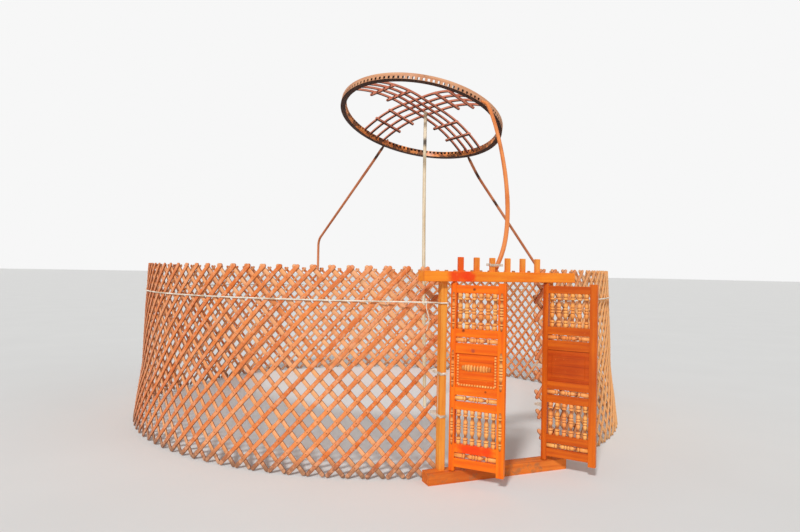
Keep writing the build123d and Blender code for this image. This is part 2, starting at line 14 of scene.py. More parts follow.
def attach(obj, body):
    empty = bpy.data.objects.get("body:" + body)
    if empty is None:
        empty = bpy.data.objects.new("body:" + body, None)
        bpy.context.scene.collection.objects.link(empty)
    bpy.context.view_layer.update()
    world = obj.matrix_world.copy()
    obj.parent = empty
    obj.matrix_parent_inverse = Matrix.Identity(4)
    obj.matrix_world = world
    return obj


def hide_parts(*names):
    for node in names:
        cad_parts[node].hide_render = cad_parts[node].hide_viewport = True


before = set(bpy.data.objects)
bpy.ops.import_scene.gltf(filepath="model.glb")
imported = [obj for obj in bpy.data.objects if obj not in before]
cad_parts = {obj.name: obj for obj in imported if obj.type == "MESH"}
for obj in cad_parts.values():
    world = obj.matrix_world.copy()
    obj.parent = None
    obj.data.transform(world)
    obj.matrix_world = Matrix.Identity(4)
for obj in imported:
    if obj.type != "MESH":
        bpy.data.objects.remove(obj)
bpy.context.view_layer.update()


def put(name, data):
    """Adds an object with this camera, lamp or mesh to the scene."""
    thing = bpy.data.objects.new(name, data)
    bpy.context.scene.collection.objects.link(thing)
    return thing


# %% [markdown]
# The photograph was taken from eye height, a little left of the door. The camera is built from three
# directions, ahead of it, to its right and above it, which keeps the roll exact.

# %% The camera
EYE = Vector((-2.507, -4.129, 1.593))
HEADING = radians(21.81)  # from straight at the door towards the right
PITCH = radians(0.549)
ROLL = radians(1.0)
LENS = 27
SENSOR = 36

ahead = Vector((sin(HEADING) * cos(PITCH), cos(HEADING) * cos(PITCH), sin(PITCH)))
level = Vector((cos(HEADING), -sin(HEADING), 0))
above = level.cross(ahead)
right = cos(ROLL) * level + sin(ROLL) * above
up = cos(ROLL) * above - sin(ROLL) * level
lens = bpy.data.cameras.new("lens")
lens.lens = LENS
lens.sensor_width = SENSOR
camera = put("camera", lens)
camera.matrix_world = Matrix.Translation(EYE) @ Matrix((right, up, -ahead)).transposed().to_4x4()
bpy.context.scene.camera = camera
print("camera at", [round(v, 3) for v in EYE])

# %% [markdown]
# Shader sums read best as sums. This small class wraps one output socket, so that `1 - mask` or
# `grain * 0.4` adds the Math node by itself, and one method makes any other node.


# %% Sums on sockets
def sum_of(operation, swapped=False):
    """A method that adds a Math node over its own socket and another value."""

    def method(self, other):
        return self.finish.math(operation, *((other, self) if swapped else (self, other)))

    return method


class Wire:
    """One output of a shader node. Arithmetic on it adds Math nodes."""

    __add__ = __radd__ = sum_of("ADD")
    __sub__, __rsub__ = sum_of("SUBTRACT"), sum_of("SUBTRACT", swapped=True)
    __mul__ = __rmul__ = sum_of("MULTIPLY")
    __truediv__ = sum_of("DIVIDE")
    __gt__ = sum_of("GREATER_THAN")

    def __init__(self, finish, socket):
        self.finish = finish
        self.socket = socket

    def within(self, low, high):
        """Fades from 0 at low to 1 at high."""
        sockets = {0: self, 1: low, 2: high}
        return self.finish.node("MapRange", sockets, interpolation_type="SMOOTHSTEP")

    def near(self, value, reach):
        """Fades from 1 at a value to 0 a reach away."""
        return 1 - self.finish.math("ABSOLUTE", self - value).within(0, reach)

    def out(self, name):
        """Another output of the same node."""
        return Wire(self.finish, self.socket.node.outputs[name])


class Finish:
    """The nodes of a material or a world, which starts empty, and the one way they are made."""

    def __init__(self, name, kind="materials"):
        self.data = getattr(bpy.data, kind).new(name)
        self.data.use_nodes = True
        self.tree = self.data.node_tree
        self.tree.nodes.clear()
        self.colour = self.height = None

    def node(self, kind, sockets=(), output=0, **settings):
        """Adds a node: its settings first, then a value or a link for each of its sockets."""
        node = self.tree.nodes.new(f"ShaderNode{kind}")
        for name, value in settings.items():
            setattr(node, name, value)
        for name, value in dict(sockets).items():
            if isinstance(value, Wire):
                self.tree.links.new(value.socket, node.inputs[name])
            else:
                node.inputs[name].default_value = value
        return Wire(self, node.outputs[output]) if node.outputs else None

    def math(self, operation, first, second=0):
        """A sum over two values, or over one."""
        return self.node("Math", {0: first, 1: second}, operation=operation)

    def mix(self, mask, first, second):
        """Blends two colours."""
        return self.node("Mix", {0: mask, 6: first, 7: second}, 2, data_type="RGBA")

    def vector(self, operation, first, second, output=0):
        return self.node("VectorMath", {0: first, 1: second}, output, operation=operation)

    def split(self, vector):
        """The three parts of a vector."""
        parts = self.node("SeparateXYZ", {0: vector})
        return parts, parts.out("Y"), parts.out("Z")

    def noise(self, place, scale, detail, roughness=0.55):
        sockets = {"Vector": place, "Scale": scale, "Detail": detail, "Roughness": roughness}
        return self.node("TexNoise", sockets)

    def over(self, mask, tone):
        """Lays a tone over the colour so far, where the mask is."""
        self.colour = self.mix(mask, self.colour, tone)

    def patched(self, tone, place, scale, detail, roughness, low, high, share):
        """Lays a tone over the colour so far, in patches of noise."""
        self.over(self.noise(place, scale, detail, roughness).within(low, high) * share, tone)

    def bump(self, height, strength, distance=0.001):
        """The normal of a surface with this height."""
        return self.node("Bump", {"Strength": strength, "Distance": distance, "Height": height})

    def surface(self, sockets):
        """Closes the material: the colour so far, and a value or a link for other sockets."""
        shader = self.node("BsdfPrincipled", {"Base Color": self.colour, **sockets})
        self.node("OutputMaterial", {"Surface": shader})
        return self.data


def paint(red, green, blue):
    """A colour from screen values of 0 to 255."""
    parts = [value / 255 for value in (red, green, blue)]
    return (*[part / 12.92 if part <= 0.04045 else ((part + 0.055) / 1.055) ** 2.4 for part in parts], 1)


def darker(colour, share):
    """This share of a colour's light."""
    return (*[part * share for part in colour[:3]], 1)


print("orange varnish is", [round(part, 3) for part in paint(240, 122, 30)])

# %% [markdown]
# All the wood here is one idea: long fibres, slower bands of dark and pale growth, a few knots, and
# varnish whose gloss changes with the grain. Fibres are noise squeezed along the grain, so what a
# finish needs is a place whose first number runs along the timber. Slats, poles and spindles carry
# that as a UV map, and the measured timbers take it from their own coordinates, turned to lie along
# the piece.

# %% One recipe for wood
ALONG = 0.05  # how much slower wood changes along the grain than across it
APART = (31, 17, 7)  # metres of grain between a part of shade 0 and one of shade 1
KNOT_STRETCH = (0.4, 1, 1)
KNOT_SCALE = 7
# Noises: scale, detail, roughness
FIBRE = (420, 4)
GROWTH = (38, 2, 0.4)
PATCH = (2.6, 2)
BLOT_EDGE = (14, 5, 0.7)
BLOT_RAGGED = 1.4  # shares of a blot's reach
BLOT_FADE = 1.9
VARNISH = {"Coat Roughness": 0.22, "Specular IOR Level": 0.2}
GRAIN_GLOSS = 0.16


def timber(finish, place, pale, deep, knots):
    """Starts a finish as wood, at a place in metres whose X runs along the grain."""
    along = finish.vector("MULTIPLY", place, (ALONG, 1, 1))
    fibre = finish.noise(along, *FIBRE)
    growth = finish.noise(along, *GROWTH)
    patch = finish.noise(place, *PATCH)
    mask = (fibre * 0.35 + growth * 0.75 + patch * 0.5).within(0.55, 1.05)
    finish.colour = finish.mix(mask, deep, pale)
    spots = finish.vector("MULTIPLY", place, KNOT_STRETCH)
    spot = finish.node("TexVoronoi", {"Vector": spots, "Scale": KNOT_SCALE})
    finish.over((1 - spot.within(0.03, 0.1)) * (patch > 0.5) * knots, darker(deep, 0.25))
    finish.height = fibre * 0.6 + growth


def varnish(finish, gloss=0.36, bump=0.25, coat=0.12):
    """Closes a varnished wood finish, whose gloss changes with the grain."""
    rough, normal = gloss + finish.height * GRAIN_GLOSS, finish.bump(finish.height, bump, 0.002)
    return finish.surface({**VARNISH, "Coat Weight": coat, "Roughness": rough, "Normal": normal})


def own_place(finish, turn=(0, 0, 0)):
    """An object's own coordinates, turned so that X lies along a timber."""
    place = finish.node("TexCoord", output="Object")
    return finish.node("Mapping", {"Vector": place, "Rotation": turn})


def blot(finish, place, middle, reach):
    """A ragged spot round a point: 1 in its middle, 0 past its reach."""
    ragged = finish.noise(place, *BLOT_EDGE) * reach * BLOT_RAGGED
    return 1 - (finish.vector("DISTANCE", place, middle, 1) + ragged).within(reach, reach * BLOT_FADE)


def dress(material, *nodes):
    """Gives measured pieces their material."""
    for name in nodes:
        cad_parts[name].material_slots[0].material = material


def varnish_and_shade_in_grooves(finish, share, dark):
    """Darkens the grooves and edges that a heap marked: gathered varnish and painted shade."""
    groove = finish.node("Attribute", output="Fac", attribute_name="groove")
    finish.over(groove * share, dark)


def laid_place(finish):
    """The place along and across a part, which its heap keeps as a UV map, apart for each part."""
    laid = finish.node("UVMap", uv_map="grain")
    shade = finish.node("Attribute", output="Fac", attribute_name="shade")
    apart = finish.node("CombineXYZ", {axis: shade * reach for axis, reach in zip("XYZ", APART)})
    return finish.vector("ADD", laid, apart), shade


print("wood recipe ready")

# %% [markdown]
# Most pieces are many like parts joined into one mesh. A heap collects them as rings of points: each
# part is a skin over its rings with both ends closed, and each corner keeps how far along and round
# the part it lies.


# %% Heaps of parts
def run_along(path):
    """The distance along a path at each of its points."""
    return np.concatenate([[0], np.cumsum(np.linalg.norm(np.diff(path, axis=0), axis=1))])


def at_places(places, run, path):
    """The points of a path at these distances along it."""
    return np.stack([np.interp(places, run, path[:, axis]) for axis in range(3)], axis=1)


def unit(vectors):
    """The same directions, each one long."""
    return vectors / np.linalg.norm(vectors, axis=-1, keepdims=True)


class Heap:
    """Collects parts made of rings of points, and turns them into one piece."""

    def __init__(self):
        self.points, self.faces, self.laid = [], [], []
        self.shades, self.grooves = [], []

    def skin(self, rings, shade=0.5, closed=False, start=0.0, grooves=0.0):
        """Adds a tube over rings of shape (rings, points, 3); closed joins its last ring to its first.

        Grooves say where the finish darkens, with gathered varnish and painted shade, from 0 to 1, for each
        ring, each point or both.
        """
        rings = np.asarray(rings, float)
        count, around = rings.shape[:2]
        base = len(self.points)
        self.points += rings.reshape(-1, 3).tolist()
        self.shades += [shade] * (count * around)
        self.grooves += np.broadcast_to(grooves, (count, around)).ravel().tolist()
        along = start + run_along(rings.mean(axis=1))
        steps = np.diff(along)
        middle = rings[count // 2]
        across = run_along([middle[-1], *middle])
        for i in range(count if closed else count - 1):
            here, there = base + i * around, base + (i + 1) % count * around
            back, front = along[i], along[i] + steps[i % len(steps)]
            for j in range(around):
                k = (j + 1) % around
                self.faces.append([here + j, here + k, there + k, there + j])
                low, high = across[j], across[j + 1]
                self.laid += [(back, low), (back, high), (front, high), (front, low)]
        if not closed:
            for i, order in ((0, reversed(range(around))), (count - 1, range(around))):
                self.faces.append([base + i * around + j for j in order])
                self.laid += [(along[i], 0.0)] * around

    def piece(self, name, slot, material, replaces=(), body="frame", turned=None):
        """Makes the heap one object that rides on a body."""
        mesh = bpy.data.meshes.new(name)
        points, faces, laid = np.array(self.points), self.faces, self.laid
        if turned is not None:
            matrix = np.array(turned)
            points = points @ matrix[:3, :3].T + matrix[:3, 3]
            if turned.determinant() < 0:
                faces = [face[::-1] for face in faces]
                starts = np.cumsum([0] + [len(face) for face in faces])
                laid = [uv for a, b in zip(starts, starts[1:]) for uv in laid[a:b][::-1]]
        mesh.from_pydata(points.tolist(), [], faces)
        mesh.uv_layers.new(name="grain").data.foreach_set("uv", np.array(laid).ravel())
        for attribute, values in (("shade", self.shades), ("groove", self.grooves)):
            mesh.attributes.new(attribute, "FLOAT", "POINT").data.foreach_set("value", values)
        mesh.polygons.foreach_set("use_smooth", [len(face) == 4 for face in faces])
        mesh.materials.append(material)
        thing = put(name, mesh)
        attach(thing, body)
        if replaces:
            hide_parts(*replaces)
        print(name, len(faces), "faces")
        return thing


def ring_frames(path, closed=False):
    """Steady side and upward directions along a path, for a section to be laid on."""
    ahead = np.roll(path, -1, axis=0) - np.roll(path, 1, axis=0) if closed else np.gradient(path, axis=0)
    ahead = unit(ahead)
    side = np.cross(ahead[0], (0, 0, 1) if abs(ahead[0][2]) < 0.9 else (1, 0, 0))
    sides = []
    for direction in ahead:
        side = unit(side - direction * (side @ direction))
        sides.append(side)
    return np.array(sides), np.cross(ahead, sides)


def tube(path, radii, around, closed=False):
    """Rings of a round section along a path."""
    sides, ups = ring_frames(path, closed)
    radii = np.broadcast_to(radii, len(path))[:, None, None]
    angles = np.linspace(0, 2 * pi, around, endpoint=False)[None, :, None]
    return path[:, None] + radii * (np.cos(angles) * sides[:, None] + np.sin(angles) * ups[:, None])


print("heaps ready")

# %% [markdown]
# A short end of the girth rope hangs from the knot beside the left post. It is a real cord with a real
# length, so it follows one smooth spline over a few points, and its three strands are twisted round
# that line.

# %% Rope: a twist of strands, and the hanging tail
KNOT = Vector((-0.5911, 0.0983, 1.360))
KNOT_DROP = 0.0153
TAIL = ((0, 0, 0), (0, 0, -0.025), (0.014, -0.002, -0.070), (0.026, -0.004, -0.115))
TAIL += ((0.016, -0.006, -0.160), (0.002, -0.008, -0.200))
TAIL_WIDTH = 0.009
STRANDS = 3
STRAND_SHARE = 0.27  # a strand's radius, in rope widths
LAY_LENGTH = 4.5  # rope widths for one turn of a strand
SPLINE_STEPS = 12  # from one control point to the next
HEMP_PALE = paint(242, 234, 220)
HEMP_GRIME = paint(198, 178, 152)
HEMP_FIBRE = (2600, 2)
GRIME = (9, 3)


def spline_points(points):
    """Points along one smooth spline that has these as its control points."""
    curve = bpy.data.curves.new("route", "CURVE")
    curve.dimensions = "3D"
    line = curve.splines.new("NURBS")
    line.points.add(len(points) - 1)
    for place, point in zip(line.points, points):
        place.co = (*point, 1)
    line.order_u = 3
    line.use_endpoint_u = True
    line.resolution_u = SPLINE_STEPS
    route = bpy.data.objects.new("route", curve)
    mesh = bpy.data.meshes.new_from_object(route)
    found = np.array([vertex.co for vertex in mesh.vertices])
    bpy.data.objects.remove(route)
    return found


def even(path, step):
    """The same path with points a step apart."""
    path = np.asarray(path, float)
    run = run_along(path)
    places = np.linspace(0, run[-1], max(2, round(run[-1] / step) + 1))
    return at_places(places, run, path), places


def twist(heap, path, width, closed=False, step=0.3, around=6):
    """Adds strands twisted round a path, as thick together as the rope is wide."""
    path, places = even(path, width * step)
    if closed:
        path, places = path[:-1], places[:-1]
    sides, ups = ring_frames(path, closed)
    strand = width * STRAND_SHARE
    turns = places / (width * LAY_LENGTH) * 2 * pi
    if closed:
        turns = turns * round(turns[-1] / (2 * pi)) * 2 * pi / turns[-1]
    for number in range(STRANDS):
        angle = (turns + number * 2 * pi / STRANDS)[:, None]
        line = path + (width / 2 - strand) * (np.cos(angle) * sides + np.sin(angle) * ups)
        heap.skin(tube(line, strand, around, closed), shade=number / STRANDS, closed=closed)


def rope_finish():
    """Pale hemp: fine fibre across the strands and grime in patches."""
    finish = Finish("hemp_rope")
    place, _ = laid_place(finish)
    fibre = finish.noise(finish.vector("MULTIPLY", place, (0.3, 1, 1)), *HEMP_FIBRE)
    grime = finish.noise(own_place(finish), *GRIME).within(0.35, 0.75)
    finish.colour = finish.mix(grime, HEMP_PALE, HEMP_GRIME)
    rough, normal = 0.75 + fibre * 0.2, finish.bump(fibre, 0.5)
    return finish.surface({"Specular IOR Level": 0.2, "Roughness": rough, "Normal": normal})


hemp = rope_finish()
knot_bottom = KNOT - Vector((0, 0, KNOT_DROP))
tail_line = spline_points([knot_bottom + Vector(point) for point in TAIL])
tail_heap = Heap()
twist(tail_heap, tail_line, TAIL_WIDTH)
tail = tail_heap.piece("rope_end", "rope", hemp, ["rope_tail"])
tail_length = float(run_along(tail_line)[-1])
print("hanging end", round(tail_length, 3), "m")

# %% [markdown]
# The girth rope goes once round the wall, hooks round both door posts and is knotted beside the left
# one. A rope under tension is straight between what it touches, so its line needs few points: the
# post's corners, and a point every few degrees of the circle. Those lie a little outside the wall,
# because the spline runs through the middles between them.

# %% The girth rope
WALL_CENTRE = Vector((0, 2.760, 0))
GIRTH_HEIGHT = 1.360
GIRTH_WIDTH = 0.0135
GIRTH_KNOT = 0.013
KNOT_STEPS = 61
GIRTH_RADIUS = 2.6388
GIRTH_LEAVE = radians(27.1)  # where it leaves the wall, from the door's middle
CIRCLE_STEP = radians(3)
POST_OUTER = 0.5163
ROPE_CORNERS = ((0.4537, 0.015), (0.4537, -0.0113), (POST_OUTER, -0.0113), (POST_OUTER, 0.060))
CORNER_EASE = 0.014


def eased(points, reach):
    """A route with a point added on both sides of every corner, so that a spline turns only there."""
    points = np.asarray(points, float)
    route = [points[0]]
    for before, corner, after in zip(points, points[1:], points[2:]):
        back, on = before - corner, after - corner
        near, far = (min(reach, np.linalg.norm(run) / 2) for run in (back, on))
        route += [corner + unit(back) * near, corner, corner + unit(on) * far]
    return [*route, points[-1]]


def knot_line(middle, size):
    """A closed overhand knot about a point."""
    t = np.linspace(0, 2 * pi, KNOT_STEPS)
    line = np.stack([np.sin(t) + 2 * np.sin(2 * t), np.cos(t) - 2 * np.cos(2 * t), -1.2 * np.sin(3 * t)], 1)
    return np.array(middle) + line * size / 3


left_hook = [(-x, y, GIRTH_HEIGHT) for x, y in ROPE_CORNERS]
right_hook = [(x, y, GIRTH_HEIGHT) for x, y in ROPE_CORNERS[::-1]]
steps = round((2 * pi - 2 * GIRTH_LEAVE) / CIRCLE_STEP)
turns = np.linspace(-pi / 2 - GIRTH_LEAVE, GIRTH_LEAVE - 2.5 * pi, steps + 1)
outside = GIRTH_RADIUS / cos(CIRCLE_STEP / 2)
circle = [(outside * cos(a), WALL_CENTRE.y + outside * sin(a), GIRTH_HEIGHT) for a in turns]
girth_route = eased([*left_hook, circle[0]], CORNER_EASE) + circle[1:-1]
girth_route += eased([circle[-1], *right_hook], CORNER_EASE)
girth = Heap()
twist(girth, spline_points(girth_route), GIRTH_WIDTH, step=0.5, around=5)
twist(girth, knot_line(KNOT, GIRTH_KNOT), TAIL_WIDTH, closed=True)
girth.piece("girth_twist", "rope", hemp, ["girth_rope"])

# %% [markdown]
# Everything else that is tied has a few turns of thinner cord: the wall's ends to the door posts, two
# poles to a crossing of the wall and the front pole to its peg. Each wrap follows a rectangle that
# climbs a cord's width a turn and has a knot on its outer side. A taut string joins the left post's
# two ties.

# %% Ties
CORD_WIDTH = 0.0065
CORD_KNOT = 0.008
KNOT_WIDTH = CORD_WIDTH * 0.8  # the cord is drawn tight there
STRING_WIDTH = 0.004
STRING_SPARE = 0.001
WRAP_TURNS = 3
WRAP_CLIMB = 1.04  # cord widths from one turn to the next
WRAP_EASE = 0.012
POST_MIDDLE = 0.485
POST_WRAP = 0.0586
POST_TIES = ((0.0867, 0.8225, 0.192), (0.0757, 0.4982, 0.170))  # middle, height, depth
POLE_WRAP = (0.066, 0.0846)
PEG_TIE = ((-0.0383, 0.0177, 1.660), 0.116, 0.0659)
WALL_TIES = (((-0.1470, 5.3428, 1.5314), 3.258), ((2.5715, 3.0725, 1.4549), -83.071))


def wrap(heap, middle, width, depth, turn=0.0):
    """Adds turns of cord round a rectangle, and a knot on the side that faces out."""
    across, out = np.array([cos(turn), sin(turn), 0]), np.array([-sin(turn), cos(turn), 0])
    corners = []
    for number in range(4 * WRAP_TURNS + 1):
        side, face = ((-1, -1), (1, -1), (1, 1), (-1, 1))[number % 4]
        rise = (number / 4 - WRAP_TURNS / 2) * CORD_WIDTH * WRAP_CLIMB
        corners.append(np.array(middle) + across * side * width / 2 + out * face * depth / 2 + (0, 0, rise))
    twist(heap, spline_points(eased(corners, WRAP_EASE)), CORD_WIDTH, step=0.6, around=5)
    twist(heap, knot_line(np.array(middle) - out * depth / 2, CORD_KNOT), KNOT_WIDTH, closed=True)


post_wraps = Heap()
for side in (-1, 1):
    for middle, height, depth in POST_TIES:
        wrap(post_wraps, (side * POST_MIDDLE, middle, height), POST_WRAP, depth)
string_ends = [(-POST_OUTER - STRING_SPARE, 0.02, height) for _, height, _ in POST_TIES]
twist(post_wraps, string_ends, STRING_WIDTH, step=1.2, around=5)
post_wraps.piece("post_wraps", "rope", hemp, ["post_ties"])
pole_wraps = Heap()
wrap(pole_wraps, *PEG_TIE)
for middle, turn in WALL_TIES:
    wrap(pole_wraps, middle, *POLE_WRAP, radians(turn))
pole_wraps.piece("pole_wraps", "rope", hemp, ["pole_ties"])

# %% [markdown]
# The wall is the yurt's great piece of joinery: two layers of thin slats leaning opposite ways, pinned
# with rawhide where they cross, so that the wall folds like scissors. The measured model fuses them
# into flat facets. Here each slat is whole: it leans at one angle on a rounded, flaring wall, so its
# place round the circle follows from its height. Slats that would cross the doorway stop just past
# the wall's end.

# %% Slats of the wall
WALL_HEIGHT = 1.645
WALL_HEIGHTS = (0, 0.600, WALL_HEIGHT)
WALL_RADII = (2.740, 2.666, 2.620)
KANATS = 8
HEADS = 13  # slats of each layer in one wall length
DOOR_HALF = radians(10.6)  # from the door's middle to the wall's end
SLAT_WIDTH = 0.036
SLAT_THICKNESS = 0.013
SLAT_LEAN = radians(47)
LAP = 0.001
TIP_ROOM = 0.011
PAST_END = 0.034
BEYOND_DOOR = 6  # slats that start behind the doorway and lean into the wall
HEIGHTS = 400  # heights at which a slat's line is worked out
FEWEST_HEIGHTS = 30  # a slat that would be shorter is left out
WHOLE_SLAT = 2.25
SLAT_STEPS = 42  # rings along a whole slat
BEND_EASE = (0.004, 0.18)  # how far in and how far up and down the wall's bend is eased
PLACE_SPREAD = 0.0006
WARP = 0.0011
HEWN = ((0.045, 41), (0.04, 17))  # waves of a slat's width: share of it, waves a metre times 2 pi
WIDTHS = (0.93, 1.04)
WALL_SEED = 11

pitch = (2 * pi - 2 * DOOR_HALF) / KANATS / HEADS
first = -pi / 2 - DOOR_HALF
last = first - KANATS * HEADS * pitch
door_spare = PAST_END / WALL_RADII[1]


def wall_radius(height):
    """The wall's outer radius, with the bend between its two slopes eased."""
    sharp = np.interp(height, WALL_HEIGHTS, WALL_RADII)
    inwards, reach = BEND_EASE
    return sharp - inwards * np.exp(-(((height - WALL_HEIGHTS[1]) / reach) ** 2))


def lean(height, depth):
    """How far round the circle a slat has leant at a height, from where it crosses half height."""
    return np.arcsin((height - WALL_HEIGHT / 2) / (tan(SLAT_LEAN) * (wall_radius(height) - depth)))


def on_wall(azimuth, height, depth):
    """Points behind the wall's outer face."""
    reach = wall_radius(height) - depth
    height = np.broadcast_to(height, np.shape(azimuth))
    return np.stack([np.cos(azimuth) * reach, np.sin(azimuth) * reach, height], -1) + np.array(WALL_CENTRE)


def phase(number):
    """Where slat number crosses half height, counted clockwise from the door's left side."""
    return first - pitch * (number + 0.5)


def length_of(azimuth):
    """The number of the wall length that an azimuth lies in, from 0."""
    return int(min(KANATS - 1, max(0, (first - azimuth) // (pitch * HEADS))))


# The slat's section, in shares of its width and thickness: a domed outer face and softened edges
SECTION = ((0.5, -0.3), (0.5, 0.22), (0.41, 0.4), (0.2, 0.5), (-0.2, 0.5), (-0.41, 0.4))
SECTION += ((-0.5, 0.22), (-0.5, -0.3), (-0.42, -0.5), (0.42, -0.5))
SLAT_TIP = ((0, 0.34), (0.003, 0.62), (0.008, 0.86), (0.014, 1))  # distance in, share of the width


def slat(heaps, number, layer, random):
    """Adds one slat to its wall length's heap: layer 1 is the outer one, -1 the inner one."""
    depth = SLAT_THICKNESS / 2 if layer == 1 else 1.5 * SLAT_THICKNESS - LAP
    heights = np.linspace(TIP_ROOM, WALL_HEIGHT - TIP_ROOM, HEIGHTS)
    azimuths = phase(number) + layer * lean(heights, depth) + random.normal(0, PLACE_SPREAD)
    inside = (azimuths < first + door_spare) & (azimuths > last - door_spare)
    heights, azimuths = heights[inside], azimuths[inside]
    if len(heights) < FEWEST_HEIGHTS:
        return
    wave = random.normal(0, WARP) * np.sin(heights / WALL_HEIGHT * pi * random.uniform(1, 3))
    path = on_wall(azimuths, heights, depth - wave * layer)
    run = run_along(path)
    tips = np.array([distance for distance, _ in SLAT_TIP])
    places = np.linspace(tips[-1], run[-1] - tips[-1], max(4, round(SLAT_STEPS * run[-1] / WHOLE_SLAT)))
    places = np.concatenate([tips[:-1], places, run[-1] - tips[-2::-1]])
    taper = [share for _, share in SLAT_TIP[:-1]]
    shares = np.concatenate([taper, np.ones(len(places) - 2 * len(taper)), taper[::-1]])
    for share, rate in HEWN:
        shares *= 1 + share * np.sin(places * rate + random.uniform(0, 6))
    path = at_places(places, run, path)
    azimuths = np.interp(places, run, azimuths)
    ahead = unit(np.gradient(path, axis=0))
    outward = np.stack([np.cos(azimuths), np.sin(azimuths), np.zeros_like(azimuths)], 1)
    outward = unit(outward - ahead * (outward * ahead).sum(1)[:, None])
    side = np.cross(outward, ahead)
    width = SLAT_WIDTH * random.uniform(*WIDTHS)
    section = np.array(SECTION)
    across = section[:, :1] * (shares * width)[:, None, None] * side[:, None]
    through = section[:, 1:] * SLAT_THICKNESS * outward[:, None] * layer
    rings = path[:, None] + across + through
    # Both sides of a slat are marked for darkening: gathered varnish, and painted shade along them.
    grooves = (abs(section[:, 0]) == 0.5).astype(float)
    if layer == -1:
        rings, grooves = rings[:, ::-1], grooves[::-1]
    heap = heaps[layer, length_of(azimuths.mean())]
    heap.skin(rings, shade=random.uniform(), start=random.uniform(0, 4), grooves=grooves)


# %% [markdown]
# The outer slats kept more of their red varnish, the inner ones are rubbed paler, and the feet of both
# have gone grey in the wet. Both finishes share one function, with the height of a point as the
# weather's mask. The part to the right of the door has bleached to straw: its mask is the distance
# from a point inside that part.


# %% Lattice finishes
BLEACHED = (2.0, 0.9, 0.8)  # the middle of the paler part of the wall
BLEACHED_REACH = (0.7, 1.9)
STRAW = paint(254, 196, 126)
WEATHERED = paint(126, 96, 78)
WET_REACH = (0.07, 0.24)
WET_EDGE = (30, 3)
WET_RAGGED = 0.12
EDGE_VARNISH_AND_SHADE = paint(122, 54, 22)
RUBBED_SLAT = paint(240, 174, 130)
# Patches: scale, detail and roughness of the noise, where they start and are whole, their share
WORN = (65, 4, 0.7, 0.58, 0.70, 0.6)
RUBBED = (19, 5, 0.75, 0.47, 0.60, 0.55)
HIDE_RUB = (160, 3)
HIDE_DARK = paint(128, 72, 38)
HIDE_PALE = paint(190, 124, 74)


def slat_finish(name, pale, deep, edge):
    """Varnished slat wood, worn in patches, dark along its sides with varnish and painted shade, grey near
    the ground.
    """
    finish = Finish(name)
    place, shade = laid_place(finish)
    where = own_place(finish)
    timber(finish, place, pale, deep, 0.5)
    finish.over(shade * 0.5, edge)
    ragged = finish.split(where)[2] + finish.noise(place, *WET_EDGE) * WET_RAGGED
    finish.over((1 - ragged.within(*WET_REACH)) * 0.85, WEATHERED)
    finish.patched(edge, place, *WORN)
    finish.patched(RUBBED_SLAT, place, *RUBBED)
    # Darker along the slat's sides: gathered varnish and painted shade.
    varnish_and_shade_in_grooves(finish, 0.7, EDGE_VARNISH_AND_SHADE)
    bleached = 1 - finish.vector("DISTANCE", where, BLEACHED, 1).within(*BLEACHED_REACH)
    finish.over(bleached * 0.55, STRAW)
    return varnish(finish, gloss=0.38, bump=0.35)


outer_finish = slat_finish("outer_slats", paint(232, 124, 48), paint(200, 86, 26), paint(240, 168, 112))
inner_finish = slat_finish("inner_slats", paint(238, 154, 88), paint(204, 106, 48), paint(248, 202, 152))


def rawhide_finish():
    """Dried hide: amber with paler rubbed spots."""
    finish = Finish("rawhide")
    rub = finish.noise(own_place(finish), *HIDE_RUB)
    finish.colour = finish.mix(rub, HIDE_DARK, HIDE_PALE)
    rough, normal = 0.4 + rub * 0.3, finish.bump(rub, 0.4)
    return finish.surface({"Specular IOR Level": 0.4, "Roughness": rough, "Normal": normal})


rawhide = rawhide_finish()

# %% [markdown]
# The slats go round once for each layer. A slat is kept with the wall length that its middle lies in,
# so that each of the eight lengths is one piece for each layer.

# %% Lay the wall
random = np.random.RandomState(WALL_SEED)
heaps = {(layer, length): Heap() for layer in (1, -1) for length in range(KANATS)}
for layer in (1, -1):
    for number in range(-BEYOND_DOOR, KANATS * HEADS + BEYOND_DOOR):
        slat(heaps, number, layer, random)
for length in range(KANATS):
    node = f"kanat_{length + 1}"
    heaps[1, length].piece(f"{node}_outer_slats", "lattice_wood", outer_finish, [node])
    heaps[-1, length].piece(f"{node}_inner_slats", "lattice_wood", inner_finish)

# %% [markdown]
# Every crossing is pinned by a strip of rawhide that is knotted on both faces. Two slats cross where
# they have leant half their spacing each, which gives the crossing's height and place at once.

# %% Rawhide knots
PIN_RADIUS = 0.0048
PIN_HEIGHT = 0.0030
PIN_SIDES = 7
PIN_SIZES = (0.8, 1.25)
PIN_SUNK = 0.0008
END_SPARE = 0.002
ROWS = 9  # crossings on each side of half height that lie clear of the slats' tips
DOME = ((1, 0), (0.9, 0.55), (0.45, 1))  # share of the radius, share of the height
ROUNDS = 6  # of working out a crossing's height, each from the last


def pin_head(heap, azimuth, height, depth, outwards, random):
    """Adds one small dome on a face of the wall."""
    middle = on_wall(np.array(azimuth), height, depth)
    normal = np.array([cos(azimuth), sin(azimuth), 0.0]) * outwards
    side = np.cross((0, 0, 1), normal)
    size = random.uniform(*PIN_SIZES)
    angles = np.linspace(0, 2 * pi, PIN_SIDES, endpoint=False) + random.uniform(0, 1)
    circle = np.cos(angles)[:, None] * side + np.sin(angles)[:, None] * np.array([0, 0, 1.0])
    rings = [middle + circle * PIN_RADIUS * size * r + normal * PIN_HEIGHT * h for r, h in DOME]
    heap.skin(rings, shade=random.uniform())


def crossing_height(row):
    """The height at which slats cross that have leant this many half spacings."""
    height = WALL_HEIGHT / 2
    for _ in range(ROUNDS):
        reach = wall_radius(height) - SLAT_THICKNESS
        height = WALL_HEIGHT / 2 + tan(SLAT_LEAN) * reach * sin(row * pitch / 2)
    return float(height)


